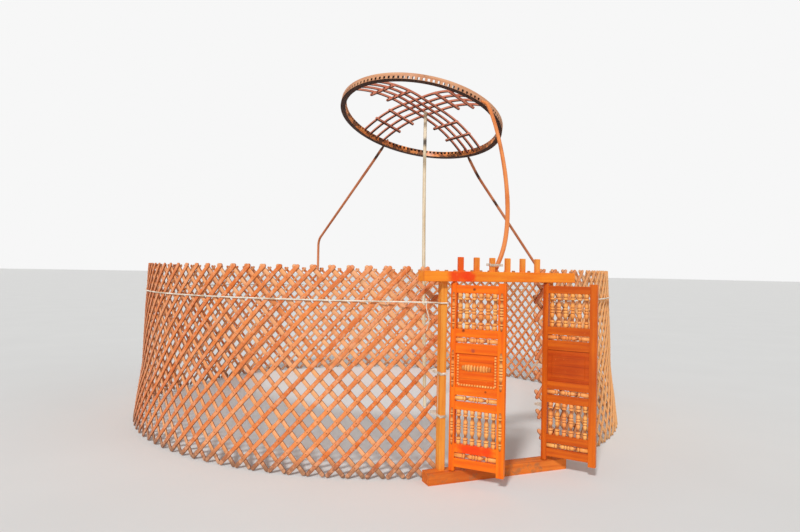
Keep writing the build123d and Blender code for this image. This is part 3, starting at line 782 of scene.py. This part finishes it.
knot_heaps = [Heap() for _ in range(KANATS)]
knot_count = 0
for row in range(-ROWS, ROWS + 1):
    height = crossing_height(row)
    for number in range(-BEYOND_DOOR - ROWS, KANATS * HEADS + BEYOND_DOOR + ROWS):
        azimuth = phase(number) + row * pitch / 2
        if last - END_SPARE < azimuth < first + END_SPARE:
            heap = knot_heaps[length_of(azimuth)]
            pin_head(heap, azimuth, height, PIN_SUNK, 1, random)
            pin_head(heap, azimuth, height, 2 * SLAT_THICKNESS - LAP - PIN_SUNK, -1, random)
            knot_count += 1
for length, heap in enumerate(knot_heaps):
    heap.piece(f"kanat_{length + 1}_knots", "lattice_wood", rawhide)
print("crossings pinned", knot_count)

# %% [markdown]
# The door frame and the leaves are the brightest wood: fresh orange varnish that has run redder in a
# few places. The measured timbers keep their shape. They get grain along their own length, red runs
# where the photograph has them, and rubbed spots. The posts are yellower, and the threshold, which is
# walked on, has lost half its colour.

# %% Door timbers
UPRIGHT = (0, pi / 2, 0)
ALONG_LEAF = {"left": (0, 0, radians(48)), "right": (0, 0, radians(52))}
# The right leaf's tones are the same wood painted darker: painted shade on that leaf.
STILE_TONES_RIGHT_SHADED = {
    "left": (paint(250, 126, 10), paint(232, 92, 4)),
    "right": (paint(222, 108, 14), paint(190, 76, 6)),
}
PANEL_TONES_RIGHT_SHADED = {
    "left": (paint(246, 118, 8), paint(222, 82, 2)),
    "right": (paint(208, 88, 8), paint(178, 62, 2)),
}
LINTEL_TONES = (paint(250, 148, 36), paint(232, 108, 14))
PEG_TONES = (paint(242, 156, 62), paint(222, 120, 36))
POST_TONES = (paint(242, 164, 64), paint(222, 124, 36))
THRESHOLD_TONES = (paint(232, 128, 46), paint(198, 92, 28))
WALKED = (9, 5, 0.65)
BARE_BROWN = paint(150, 106, 74)
BARE_PALE = paint(240, 166, 96)
BOARD_HEIGHT = 0.0638
RED_RUN = paint(240, 62, 4)
RED_PEG = paint(226, 84, 12)
KNOT_DARK = paint(110, 40, 12)
KNOT_PINK = paint(176, 74, 50)
SEAM_DARK = paint(120, 48, 14)
RUBBED_DOOR = paint(250, 170, 84)
DOOR_RUB = (44, 4, 0.7, 0.62, 0.74, 0.3)
LEFT_RAIL_MARKS = (
    ((-0.354, -0.128, 0.268), 0.070, RED_RUN),
    ((-0.300, -0.187, 0.268), 0.075, RED_RUN),
    ((-0.247, -0.246, 0.268), 0.065, RED_RUN),
    ((-0.374, -0.105, 1.158), 0.017, KNOT_DARK),
    ((-0.322, -0.163, 1.008), 0.019, KNOT_PINK),
    ((-0.253, -0.240, 0.712), 0.012, KNOT_DARK),
    ((-0.319, -0.166, 1.470), 0.014, KNOT_DARK),
)
LINTEL_MARKS = (
    ((-0.430, -0.06, 1.562), 0.062, RED_RUN),
    ((-0.370, -0.06, 1.568), 0.070, RED_RUN),
    ((-0.305, -0.06, 1.560), 0.066, RED_RUN),
)
PEG_MARKS = (((-0.350, 0, 1.680), 0.14, RED_PEG),)


def door_timber(name, turn, tones, knots=0.3, marks=(), boards=0.0):
    """Varnished door wood; marks are (place, reach, colour) spots, boards the height of one board."""
    finish = Finish(name)
    where = own_place(finish)
    timber(finish, own_place(finish, turn), *tones, knots)
    for spot, reach, tone in marks:
        finish.over(blot(finish, where, spot, reach) * 0.9, tone)
    finish.patched(RUBBED_DOOR, where, *DOOR_RUB)
    if boards:
        seam = finish.math("FRACT", finish.split(where)[2] / boards).near(0.5, 0.03)
        finish.over(seam * 0.6, SEAM_DARK)
        finish.height -= seam * 1.5
    return varnish(finish)


for side, along in ALONG_LEAF.items():
    stiles = door_timber(f"{side}_stile_wood", UPRIGHT, STILE_TONES_RIGHT_SHADED[side])
    dress(stiles, f"{side}_hinge_stile", f"{side}_meeting_stile")
    rail_marks = LEFT_RAIL_MARKS if side == "left" else ()
    dress(door_timber(f"{side}_rail_wood", along, STILE_TONES_RIGHT_SHADED[side], 0.6, rail_marks), f"{side}_rails")
    panel_wood = door_timber(f"{side}_panel_wood", along, PANEL_TONES_RIGHT_SHADED[side], 0.6, boards=BOARD_HEIGHT)
    dress(panel_wood, f"{side}_panel")
dress(door_timber("post_wood", UPRIGHT, POST_TONES), "post_left", "post_right")
dress(door_timber("lintel_wood", (0, 0, 0), LINTEL_TONES, 0.4, LINTEL_MARKS), "lintel")
dress(door_timber("peg_wood", UPRIGHT, PEG_TONES, 0.2, PEG_MARKS), "lintel_pegs")


def threshold_finish():
    """Varnish walked off in patches, to brown wood and to paler wood."""
    finish = Finish("threshold_wood")
    place = own_place(finish)
    timber(finish, place, *THRESHOLD_TONES, 0.4)
    bare = finish.noise(place, *WALKED)
    finish.over(bare.within(0.52, 0.66) * 0.6, BARE_BROWN)
    finish.over((1 - bare.within(0.22, 0.30)) * 0.6, BARE_PALE)
    return varnish(finish, gloss=0.6, bump=0.5, coat=0.05)


dress(threshold_finish(), "threshold")
print("door timbers dressed")

# %% [markdown]
# The balusters were turned on a lathe: plain ends, then a disc, a vase, two discs at the waist and the
# same again. A lathe is exactly how they are made here, as rings of one profile round an axis. The
# measured ones have the same outline in a few straight steps, and these replace them with rounded
# discs and full vases.

# %% Turned balusters
HINGES = {"left": (-0.419, -48), "right": (0.419, 128)}  # across the doorway, degrees from closed
HINGE_DEPTH = -0.025
LEAVES = {
    side: Matrix.Translation((across, HINGE_DEPTH, 0)) @ Matrix.Rotation(radians(turn), 4, "Z")
    for side, (across, turn) in HINGES.items()
}
LEAVES["right"] @= Matrix.Scale(-1, 4, (1, 0, 0))
INNER_LEFT = 0.030
INNER_RIGHT = 0.358
UPRIGHT_ROWS = (("upper", 1.170, 1.440), ("lower", 0.300, 0.560))
CROSS_ROWS = ((0.190, 0.235), (0.620, 0.668), (1.062, 1.108))
ROW_COUNT = 6
TURNED_RADIUS = 0.0195
UPRIGHT_END = 0.017
CROSS_END = 0.050
TURNING_SEED = 5
GROOVE_START = 0.86  # share of the radius below which the turning darkens: gathered varnish and painted shade
GROOVE_RANGE = 0.34
GROOVE_VARNISH_AND_SHADE = paint(140, 56, 16)
TURNED_TONES = (paint(252, 198, 116), paint(240, 146, 62))
TURNED_RED = paint(242, 138, 78)
UPWARDS = (0, 0, 1)
ACROSS = (1, 0, 0)
OUTWARDS = (0, -1, 0)
# From a plain end to the waist: share of the length between the ends, share of the radius
TURNING = ((0, 0.9), (0.05, 0.88), (0.058, 0.66), (0.074, 0.62), (0.082, 0.9), (0.094, 1), (0.126, 1))
TURNING += ((0.138, 0.88), (0.146, 0.62), (0.175, 0.52), (0.205, 0.52), (0.245, 0.64), (0.285, 0.8))
TURNING += ((0.325, 0.9), (0.36, 0.91), (0.392, 0.82), (0.405, 0.66), (0.418, 0.66), (0.427, 0.92))
TURNING += ((0.44, 1), (0.462, 1), (0.475, 0.9), (0.484, 0.68))


def both_ways(half):
    """A whole profile from its first half."""
    return [*half, *[(1 - place, size) for place, size in half[::-1]]]


def baluster(length, end):
    """The profile of a whole baluster, as shares of its length and radius."""
    between = 1 - 2 * end / length
    half = [(0, 0.90)] + [(end / length + place * between, size) for place, size in TURNING]
    return both_ways(half)


def lathe(heap, profile, foot, axis, length, radius, around=16, flat=None):
    """Adds a turned part from its foot along an axis. A flattened one is split: its outer half."""
    foot, axis, face = (np.array(v, float) for v in (foot, axis, OUTWARDS))
    places, sizes = np.array(profile, float).T
    spread = (-pi / 2, pi / 2) if flat else (0, 2 * pi)
    angles = np.linspace(*spread, around, endpoint=bool(flat))[:, None]
    bulge = np.cos(angles) * face * (flat or 1) + np.sin(angles) * np.cross(axis, face)
    rings = foot + (places * length)[:, None, None] * axis + (sizes * radius)[:, None, None] * bulge
    # Hollows of the profile are marked for darkening: gathered varnish and painted shade.
    grooves = np.clip((GROOVE_START - sizes) / GROOVE_RANGE, 0, 1)
    heap.skin(rings, random.uniform(), start=random.uniform(0, 3), grooves=grooves[:, None])


def turned_finish():
    """Lighter turned wood under thin varnish, each part its own tone, its grooves darkened with varnish and
    painted shade.
    """
    finish = Finish("turned_wood")
    place, shade = laid_place(finish)
    timber(finish, place, *TURNED_TONES, 0.2)
    finish.over(shade * 0.45, TURNED_RED)
    # The turnings' grooves are darkened: gathered varnish and painted shade in the hollows.
    varnish_and_shade_in_grooves(finish, 0.8, GROOVE_VARNISH_AND_SHADE)
    return varnish(finish, gloss=0.3, bump=0.2, coat=0.2)


def turnings(heap, side, name, *replaces):
    """Makes a heap of turned parts one piece of a leaf."""
    heap.piece(f"{side}_{name}", "turned_wood", turned_wood, replaces, f"{side}_leaf", LEAVES[side])


random = np.random.RandomState(TURNING_SEED)
turned_wood = turned_finish()
width = INNER_RIGHT - INNER_LEFT
for side in LEAVES:
    for row, low, high in UPRIGHT_ROWS:
        heap = Heap()
        profile = baluster(high - low, UPRIGHT_END)
        for number in range(ROW_COUNT):
            x = INNER_LEFT + (number + 0.5) * width / ROW_COUNT
            lathe(heap, profile, (x, 0, low), UPWARDS, high - low, TURNED_RADIUS)
        turnings(heap, side, f"{row}_balusters", f"{side}_{row}_spindles")
    heap = Heap()
    for low, high in CROSS_ROWS:
        foot = (INNER_LEFT, 0, (low + high) / 2)
        lathe(heap, baluster(width, CROSS_END), foot, ACROSS, width, TURNED_RADIUS)
    turnings(heap, side, "cross_balusters", f"{side}_cross_spindles")

# %% [markdown]
# The outer faces of both leaves carry split turnings: a baluster is turned, sawn down its middle and
# glued on flat. Both stiles have three of them one above the other, and the panel has one laid across
# it, with rows of small beads round its edge. The same lathe makes them, as half a turn.

# %% Split turnings on the outer faces
STILE_COLUMNS = ((0.009, 0.0145), (0.386, 0.0165))  # across the leaf, radius
COLUMN_RUNS = ((1.166, 1.448), (0.725, 1.008), (0.291, 0.572))
STILE_FACE = -0.0192
BEADED = ((0, 0.2), (0.02, 0.45), (0.06, 0.62), (0.1, 0.78), (0.125, 0.72), (0.135, 0.4), (0.15, 0.4))
BEADED += ((0.158, 0.95), (0.172, 1), (0.186, 0.95), (0.194, 0.42), (0.205, 0.4), (0.25, 0.55))
BEADED += ((0.3, 0.78), (0.345, 0.92), (0.375, 0.88), (0.385, 0.45), (0.4, 0.45), (0.408, 0.95))
BEADED += ((0.425, 1), (0.442, 0.95), (0.45, 0.48), (0.465, 0.48), (0.475, 0.85), (0.5, 0.92))
COLUMN_FLAT = 0.85
BARREL = ((0, 0.35), (0.015, 0.62), (0.075, 0.78), (0.085, 0.52), (0.1, 0.52), (0.11, 0.84))
BARREL += ((0.165, 0.93), (0.175, 0.62), (0.19, 0.62), (0.2, 0.96), (0.27, 1), (0.28, 0.66))
BARREL += ((0.295, 0.66), (0.305, 0.98), (0.375, 0.9), (0.39, 0.45), (0.41, 0.45), (0.42, 0.82))
BARREL += ((0.445, 0.9), (0.475, 0.84), (0.485, 0.5))
BARREL_LENGTH = 0.229
BARREL_RADIUS = 0.027
BARREL_HEIGHT = 0.878
BARREL_FLAT = 0.55
BEADED_EDGE = (0.047, 0.341, 0.747, 0.977)  # left, right, low, high
PANEL_FACE = -0.0069
FIELD_FACE = -0.0108
BEAD = ((0, 0.2), (0.14, 0.72), (0.32, 1), (0.68, 1), (0.86, 0.72), (1, 0.2))
BEAD_LENGTH = 0.021
BEAD_RADIUS = 0.0090
BEAD_FLAT = 0.9


def bead_row(heap, start, axis, length):
    """Adds a row of small split beads."""
    for number in range(round(length / BEAD_LENGTH)):
        foot = np.array(start) + np.array(axis) * number * BEAD_LENGTH
        lathe(heap, BEAD, foot, axis, BEAD_LENGTH, BEAD_RADIUS, 8, BEAD_FLAT)


for side in LEAVES:
    heap = Heap()
    for x, radius in STILE_COLUMNS:
        for low, high in COLUMN_RUNS:
            foot = (x, STILE_FACE, low)
            lathe(heap, both_ways(BEADED), foot, UPWARDS, high - low, radius, 9, COLUMN_FLAT)
    left, right, low, high = BEADED_EDGE
    foot = ((left + right - BARREL_LENGTH) / 2, FIELD_FACE, BARREL_HEIGHT)
    lathe(heap, both_ways(BARREL), foot, ACROSS, BARREL_LENGTH, BARREL_RADIUS, 13, BARREL_FLAT)
    for x in (left, right):
        bead_row(heap, (x, PANEL_FACE, low), UPWARDS, high - low)
    bead_row(heap, (left, PANEL_FACE, low), ACROSS, right - left)
    turnings(heap, side, "split_turnings")

# %% [markdown]
# The crown has been over a fire for years. Its rim is pale where the weather reaches it and warm brown
# inside. Underneath and on the under sides of the bars it is nearly black: smoke, with painted shade
# in it. The dark patches on the inner face are soot and painted shadows of the bars, and the holes
# have painted shade inside. Those are masks of which way a face points and how far it lies from the
# ring's axis, in coordinates turned to the tilted ring.

# %% The crown's finishes
CROWN_MIDDLE = (0.355, 2.430, 3.401)
CROWN_TILT = (radians(-7.7), radians(13.7), 0)
CROWN_TURN = 18
BORE = 0.910
RIM = 0.970
RING_SMOKE_AND_SHADE = (-0.85, -0.45)  # how far a face points up where smoke and painted shade end, from all of it to none
BAR_SMOKE_AND_SHADE = (-0.75, 0.15)
TIE_SMOKE_AND_SHADE = (-0.95, -0.5)
SMOKE_AND_SHADE_EDGE = (18, 3)
SOOT_AND_SHADOW_NOISE = (9, 4, 0.7)
RING_STAIN = (9, 4, 0.65, 0.58, 0.72, 0.45)
STAIN = paint(120, 84, 62)
SOOT_AND_BAR_SHADOW = paint(74, 42, 30)
SMOKE_AND_SHADE = paint(58, 34, 26)
HOLE_SHADE = paint(52, 32, 24)
HOLE_REACH = (0.03, 0.034)  # in and out, up and down
RIM_TONES = (paint(224, 172, 132), paint(190, 126, 88))
INNER_TONES = (paint(242, 160, 92), paint(206, 112, 54))
BAR_TONES = (paint(230, 152, 122), paint(192, 106, 80))
crown = Matrix.Translation(CROWN_MIDDLE) @ Matrix.Rotation(CROWN_TILT[1], 4, "Y")
crown @= Matrix.Rotation(CROWN_TILT[0], 4, "X")
crown_axis = crown.col[2].to_3d()


def crown_place(finish, turn=0.0):
    """Coordinates of the tilted ring, its axis as Z, turned about it by some degrees."""
    place = finish.node("TexCoord", output="Object")
    sockets = {"Vector": place, "Location": CROWN_MIDDLE, "Rotation": CROWN_TILT}
    level = finish.node("Mapping", sockets, vector_type="TEXTURE")
    return finish.node("Mapping", {"Vector": level, "Rotation": (0, 0, radians(-turn))})


def facing(finish, direction):
    """How much a face points in a direction, from -1 to 1."""
    normal = finish.node("TexCoord", output="Normal")
    return finish.vector("DOT_PRODUCT", normal, tuple(direction), 1)


def smoke_and_shade_below(finish, place, share, reach):
    """Dark smoke and painted shade on the faces that point down."""
    down = (1 - facing(finish, crown_axis).within(*reach)) * share
    finish.over(down * (finish.noise(place, *SMOKE_AND_SHADE_EDGE) * 0.5 + 0.75), SMOKE_AND_SHADE)


def ring_finish():
    """The rim: grain round the circle, pale outside, warm inside, smoke and painted shade below, shade
    painted in the holes.
    """
    finish = Finish("crown_ring_wood")
    place = crown_place(finish)
    x, y, z = finish.split(place)
    radius = finish.math("SQRT", x * x + y * y)
    angle = finish.math("ARCTAN2", y, x)
    laid = finish.node("CombineXYZ", {"X": angle * RIM, "Y": radius, "Z": z})
    timber(finish, laid, *INNER_TONES, 0.3)
    inner = finish.colour
    timber(finish, laid, *RIM_TONES, 0.3)
    finish.over(1 - radius.within(BORE + 0.002, BORE + 0.01), inner)
    # Dark patches on the inner face: soot, and painted shadows of the bars.
    soot_and_shadow = finish.noise(place, *SOOT_AND_SHADOW_NOISE).within(0.49, 0.53) * (1 - radius.within(BORE, BORE + 0.01))
    finish.over(soot_and_shadow * 0.8, SOOT_AND_BAR_SHADOW)
    finish.patched(STAIN, place, *RING_STAIN)
    # Faces that point down are painted dark: smoke, and painted shade under the ring.
    smoke_and_shade_below(finish, place, 1, RING_SMOKE_AND_SHADE)
    # The insides of the holes are painted dark: painted shade in a recess.
    hole = radius.near((BORE + RIM) / 2, HOLE_REACH[0]) * z.near(0, HOLE_REACH[1])
    finish.over(hole.within(0.02, 0.3), HOLE_SHADE)
    return varnish(finish, gloss=0.5, bump=0.4, coat=0.1)


def bar_finish(name, turn, reach):
    """A set of bars or its ties: reddish brown, dark below with smoke and painted shade, grain along the
    set.
    """
    finish = Finish(name)
    place = crown_place(finish, turn)
    timber(finish, place, *BAR_TONES, 0.3)
    # The bars' under sides are painted dark: smoke, and painted shade.
    smoke_and_shade_below(finish, place, 0.95, reach)
    return varnish(finish, gloss=0.5, bump=0.4, coat=0.1)


dress(ring_finish(), *[f"ring_{number}" for number in range(1, 9)])
dress(bar_finish("bar_wood_a", CROWN_TURN + 90, BAR_SMOKE_AND_SHADE), "crown_bars_a")
dress(bar_finish("bar_wood_b", CROWN_TURN, BAR_SMOKE_AND_SHADE), "crown_bars_b")
dress(bar_finish("tie_wood", CROWN_TURN, TIE_SMOKE_AND_SHADE), "crown_ties")
print("crown dressed, axis", [round(v, 3) for v in crown_axis])

# %% [markdown]
# A roof pole is a peeled sapling, steamed at the foot so that it stands up from the wall and then
# leans in. Its tip goes through a hole of the ring. The route is the measured pole's own: foot, knee
# and a last straight stretch in line with the hole. On it the radius wanders a little and swells at
# knots, as a sapling's does.

# %% Poles
HOLE_SLOPE = radians(31)
SEGMENT_HOLES = 14
SEGMENT = radians(45)
SEAM = 0.0006
POLE_RADIUS = 0.0190
TIP_RADIUS = 0.0125
TIP = 0.070  # past the ring's middle
SHOULDER = 0.048
TAPER = 0.108
APPROACH = 0.358
POLE_EASE = 0.2
POLE_SIDES = 14
WANDER = 0.008  # share of the radius
SWELL = (0.035, 0.018)  # share of the radius, reach along the pole
DARK_MARK_REACH = 0.075  # reach of a dark mark
DARK_MARK = paint(48, 34, 30)
POLE_STEP = 0.02
SWELLINGS = 5
POLE_AGE = (3.5, 4, 0.6, 0.52, 0.72, 0.4)
BACK_MARKS = ((0.233, 3.414, 3.255), (0.20, 3.53, 3.17))
RIGHT_MARKS = ((1.388, 2.904, 2.903), (1.70, 2.95, 2.548), (1.22, 2.83, 3.10))
# Foot across and deep, foot height, knee height, hole of the ring, marks
WALL_POLES = {
    "pole_back": ((-0.146, 5.322), 1.3964, 2.080, 29, BACK_MARKS),
    "pole_right": ((2.551, 3.070), 1.3199, 1.600, 7, RIGHT_MARKS),
}


def hole(number):
    """The middle of a ring hole and the direction out of the ring down the hole."""
    segment, place = divmod(number, SEGMENT_HOLES)
    turn = (segment + (place + 0.5) / SEGMENT_HOLES) * SEGMENT - SEAM / RIM / 2
    placed = crown @ Matrix.Rotation(turn, 4, "Z")
    axis = placed.to_3x3() @ Vector((cos(HOLE_SLOPE), 0, -sin(HOLE_SLOPE)))
    return np.array(placed @ Vector(((BORE + RIM) / 2, 0, 0))), np.array(axis)


def sapling(heap, path, radii):
    """Adds a pole along a path, its radius wandering and swelling a little at knots."""
    path, places = even(path, POLE_STEP)
    wander = sum(np.sin(places * random.uniform(5, 16) + random.uniform(0, 6)) for _ in range(3)) * WANDER
    swell, reach = SWELL
    for knot in random.uniform(0.1, places[-1] - 0.2, SWELLINGS):
        wander += swell * np.exp(-(((places - knot) / reach) ** 2))
    sizes = np.interp(places[-1] - places, *zip(*radii)) * (1 + wander - 0.02)
    heap.skin(tube(path, sizes, POLE_SIDES), start=random.uniform(0, 5), shade=random.uniform())


def pole_finish(name, pale, deep, marks=()):
    """Peeled, thinly varnished pole wood, with dark marks at the given places."""
    finish = Finish(name)
    place, _ = laid_place(finish)
    where = own_place(finish)
    timber(finish, place, pale, deep, 1)
    finish.patched(darker(deep, 0.45), where, *POLE_AGE)
    for spot in marks:
        finish.over(blot(finish, where, spot, DARK_MARK_REACH) * 0.9, DARK_MARK)
    return varnish(finish, gloss=0.5, bump=0.5, coat=0.1)


TIP_RADII = ((0, TIP_RADIUS), (TIP + SHOULDER, TIP_RADIUS), (TIP + TAPER, POLE_RADIUS), (9, POLE_RADIUS))
for name, (foot, foot_height, knee_height, number, marks) in WALL_POLES.items():
    middle, axis = hole(number)
    route = [(*foot, foot_height), (*foot, knee_height), middle + axis * APPROACH, middle - axis * TIP]
    heap = Heap()
    sapling(heap, spline_points(eased(route, POLE_EASE)), TIP_RADII)
    wood = pole_finish(f"{name}_wood", paint(224, 144, 98), paint(184, 104, 64), marks)
    heap.piece(f"{name}_sapling", "pole_wood", wood, [name])

# %% [markdown]
# The front pole stands on the lintel, leans out of its peg and bows over to the near side of the ring
# in one long curve. The prop is a bare peeled stick, cut flat under the crown's crossing bars. Cutting
# a pole level is done on its rings: points that would pass the cut are brought back to it.

# %% The front pole and the prop
FRONT_HOLE = 89
FRONT_FOOT = np.array([-0.030, 0.0288, 1.605])
FOOT_SPARE = 0.017  # drawn past the cut, and cut back
FRONT_LEAN = radians(24)
FRONT_STRAIGHT = 0.120
FRONT_LIFT = 0.500
FRONT_REACH = 0.100
LINTEL_CUT = 1.6053
PROP_RADIUS = 0.0206
PROP_FOOT = np.array([0.450, 2.390, 0.0])
PROP_BOW = np.array([0.400, 2.400, 2.500])
PROP_SHARE = 0.7
PROP_HEAD = (0.054, 0.054, 0.1767)
PROP_MARK = (0.425, 2.455, 3.15)
BAR_CUT = 0.1557
CURVE_STEPS = 60


def curve_through(start, bow, share, end):
    """Points of the gentle curve from start to end that passes bow at a share of the way."""
    t = np.linspace(0, 1, CURVE_STEPS)[:, None]
    near, middle = (t - share) * (t - 1) / share, t * (t - 1) / (share * (share - 1))
    return start * near + bow * middle + end * t * (t - share) / (1 - share)


leaning = np.array([sin(FRONT_LEAN), 0, cos(FRONT_LEAN)])
middle, axis = hole(FRONT_HOLE)
knee = FRONT_FOOT + leaning * FRONT_STRAIGHT
held = middle + axis * TAPER
t = np.linspace(0, 1, CURVE_STEPS)[1:, None]
lift, over = knee + leaning * FRONT_LIFT, held + axis * FRONT_REACH
bow = knee * (1 - t) ** 3 + lift * 3 * t * (1 - t) ** 2 + over * 3 * t**2 * (1 - t) + held * t**3
front = Heap()
sapling(front, [FRONT_FOOT - leaning * FOOT_SPARE, knee, *bow, middle - axis * TIP], TIP_RADII)
front.points = [(x, y, max(z, LINTEL_CUT)) for x, y, z in front.points]
front_wood = pole_finish("front_pole_wood", paint(236, 148, 84), paint(206, 108, 46))
front.piece("pole_front_sapling", "pole_wood", front_wood, ["pole_front"])

prop = Heap()
prop_head = np.array(crown @ Vector(PROP_HEAD))
prop_line = curve_through(PROP_FOOT, PROP_BOW, PROP_SHARE, prop_head)
sapling(prop, prop_line, ((0, PROP_RADIUS), (9, PROP_RADIUS)))
for index, point in enumerate(prop.points):
    local = crown.inverted() @ Vector(point)
    local.z = min(local.z, BAR_CUT)
    x, y, z = crown @ local
    prop.points[index] = (x, y, max(z, 0))
prop_wood = pole_finish("prop_wood", paint(240, 226, 200), paint(208, 180, 138), [PROP_MARK])
prop.piece("prop_sapling", "bare_wood", prop_wood, ["prop_pole"])

# %% [markdown]
# The floor and light are plain: one pale floor, a pale surround for the camera and for reflections,
# a large soft lamp from the side the sun came from and a weaker one across from it. Together they
# light a colour at about the level it was written.

# %% Floor and light
FLOOR_TONE = (0.80, 0.80, 0.79, 1)
FLOOR_MOTTLE = (0.76, 0.76, 0.75, 1)
FLOOR_PATCH = (0.8, 2)
SURROUND_TONE = (0.93, 0.93, 0.93, 1)
SKY_LEVEL = 0.34
FLOOR_REACH = 300
# Place, strength, degrees across
LAMPS = {"key_lamp": ((-7.5, -6.0, 9.0), 2.35, 7), "fill_lamp": ((8.0, -5.0, 6.0), 0.4, 40)}


def floor_finish():
    """A plain pale floor with the faintest mottle, so that it reads as a surface."""
    finish = Finish("studio_floor")
    mottle = finish.noise(own_place(finish), *FLOOR_PATCH)
    finish.colour = finish.mix(mottle, FLOOR_TONE, FLOOR_MOTTLE)
    return finish.surface({"Specular IOR Level": 0.2, "Roughness": 0.8})


def surround():
    """The world: an even sky for light, and its own tone where the camera or a reflection sees it."""
    world = Finish("surround", "worlds")
    camera_ray = world.node("LightPath", output="Is Camera Ray")
    seen = world.math("MAXIMUM", camera_ray, camera_ray.out("Is Glossy Ray"))
    sky = world.node("Background", {"Color": (1, 1, 1, 1), "Strength": SKY_LEVEL})
    tone = world.node("Background", {"Color": SURROUND_TONE})
    world.node("OutputWorld", {"Surface": world.node("MixShader", {0: seen, 1: sky, 2: tone})})
    bpy.context.scene.world = world.data


def lamp(name, place, strength, softness):
    """A far, soft lamp that shines from a place towards the yurt."""
    light = bpy.data.lights.new(name, "SUN")
    light.energy = strength
    light.angle = radians(softness)
    thing = put(name, light)
    thing.location = place
    thing.rotation_mode = "QUATERNION"
    thing.rotation_quaternion = (WALL_CENTRE - Vector(place)).to_track_quat("-Z", "Y")


floor_mesh = bpy.data.meshes.new("floor")
corners = [(x * FLOOR_REACH, y * FLOOR_REACH, 0) for x, y in ((-1, -1), (1, -1), (1, 1), (-1, 1))]
floor_mesh.from_pydata(corners, [], [(0, 1, 2, 3)])
floor_mesh.materials.append(floor_finish())
floor = put("floor", floor_mesh)
surround()
for name, settings in LAMPS.items():
    lamp(name, *settings)
bpy.context.scene.view_settings.view_transform = "Standard"
print("lit")
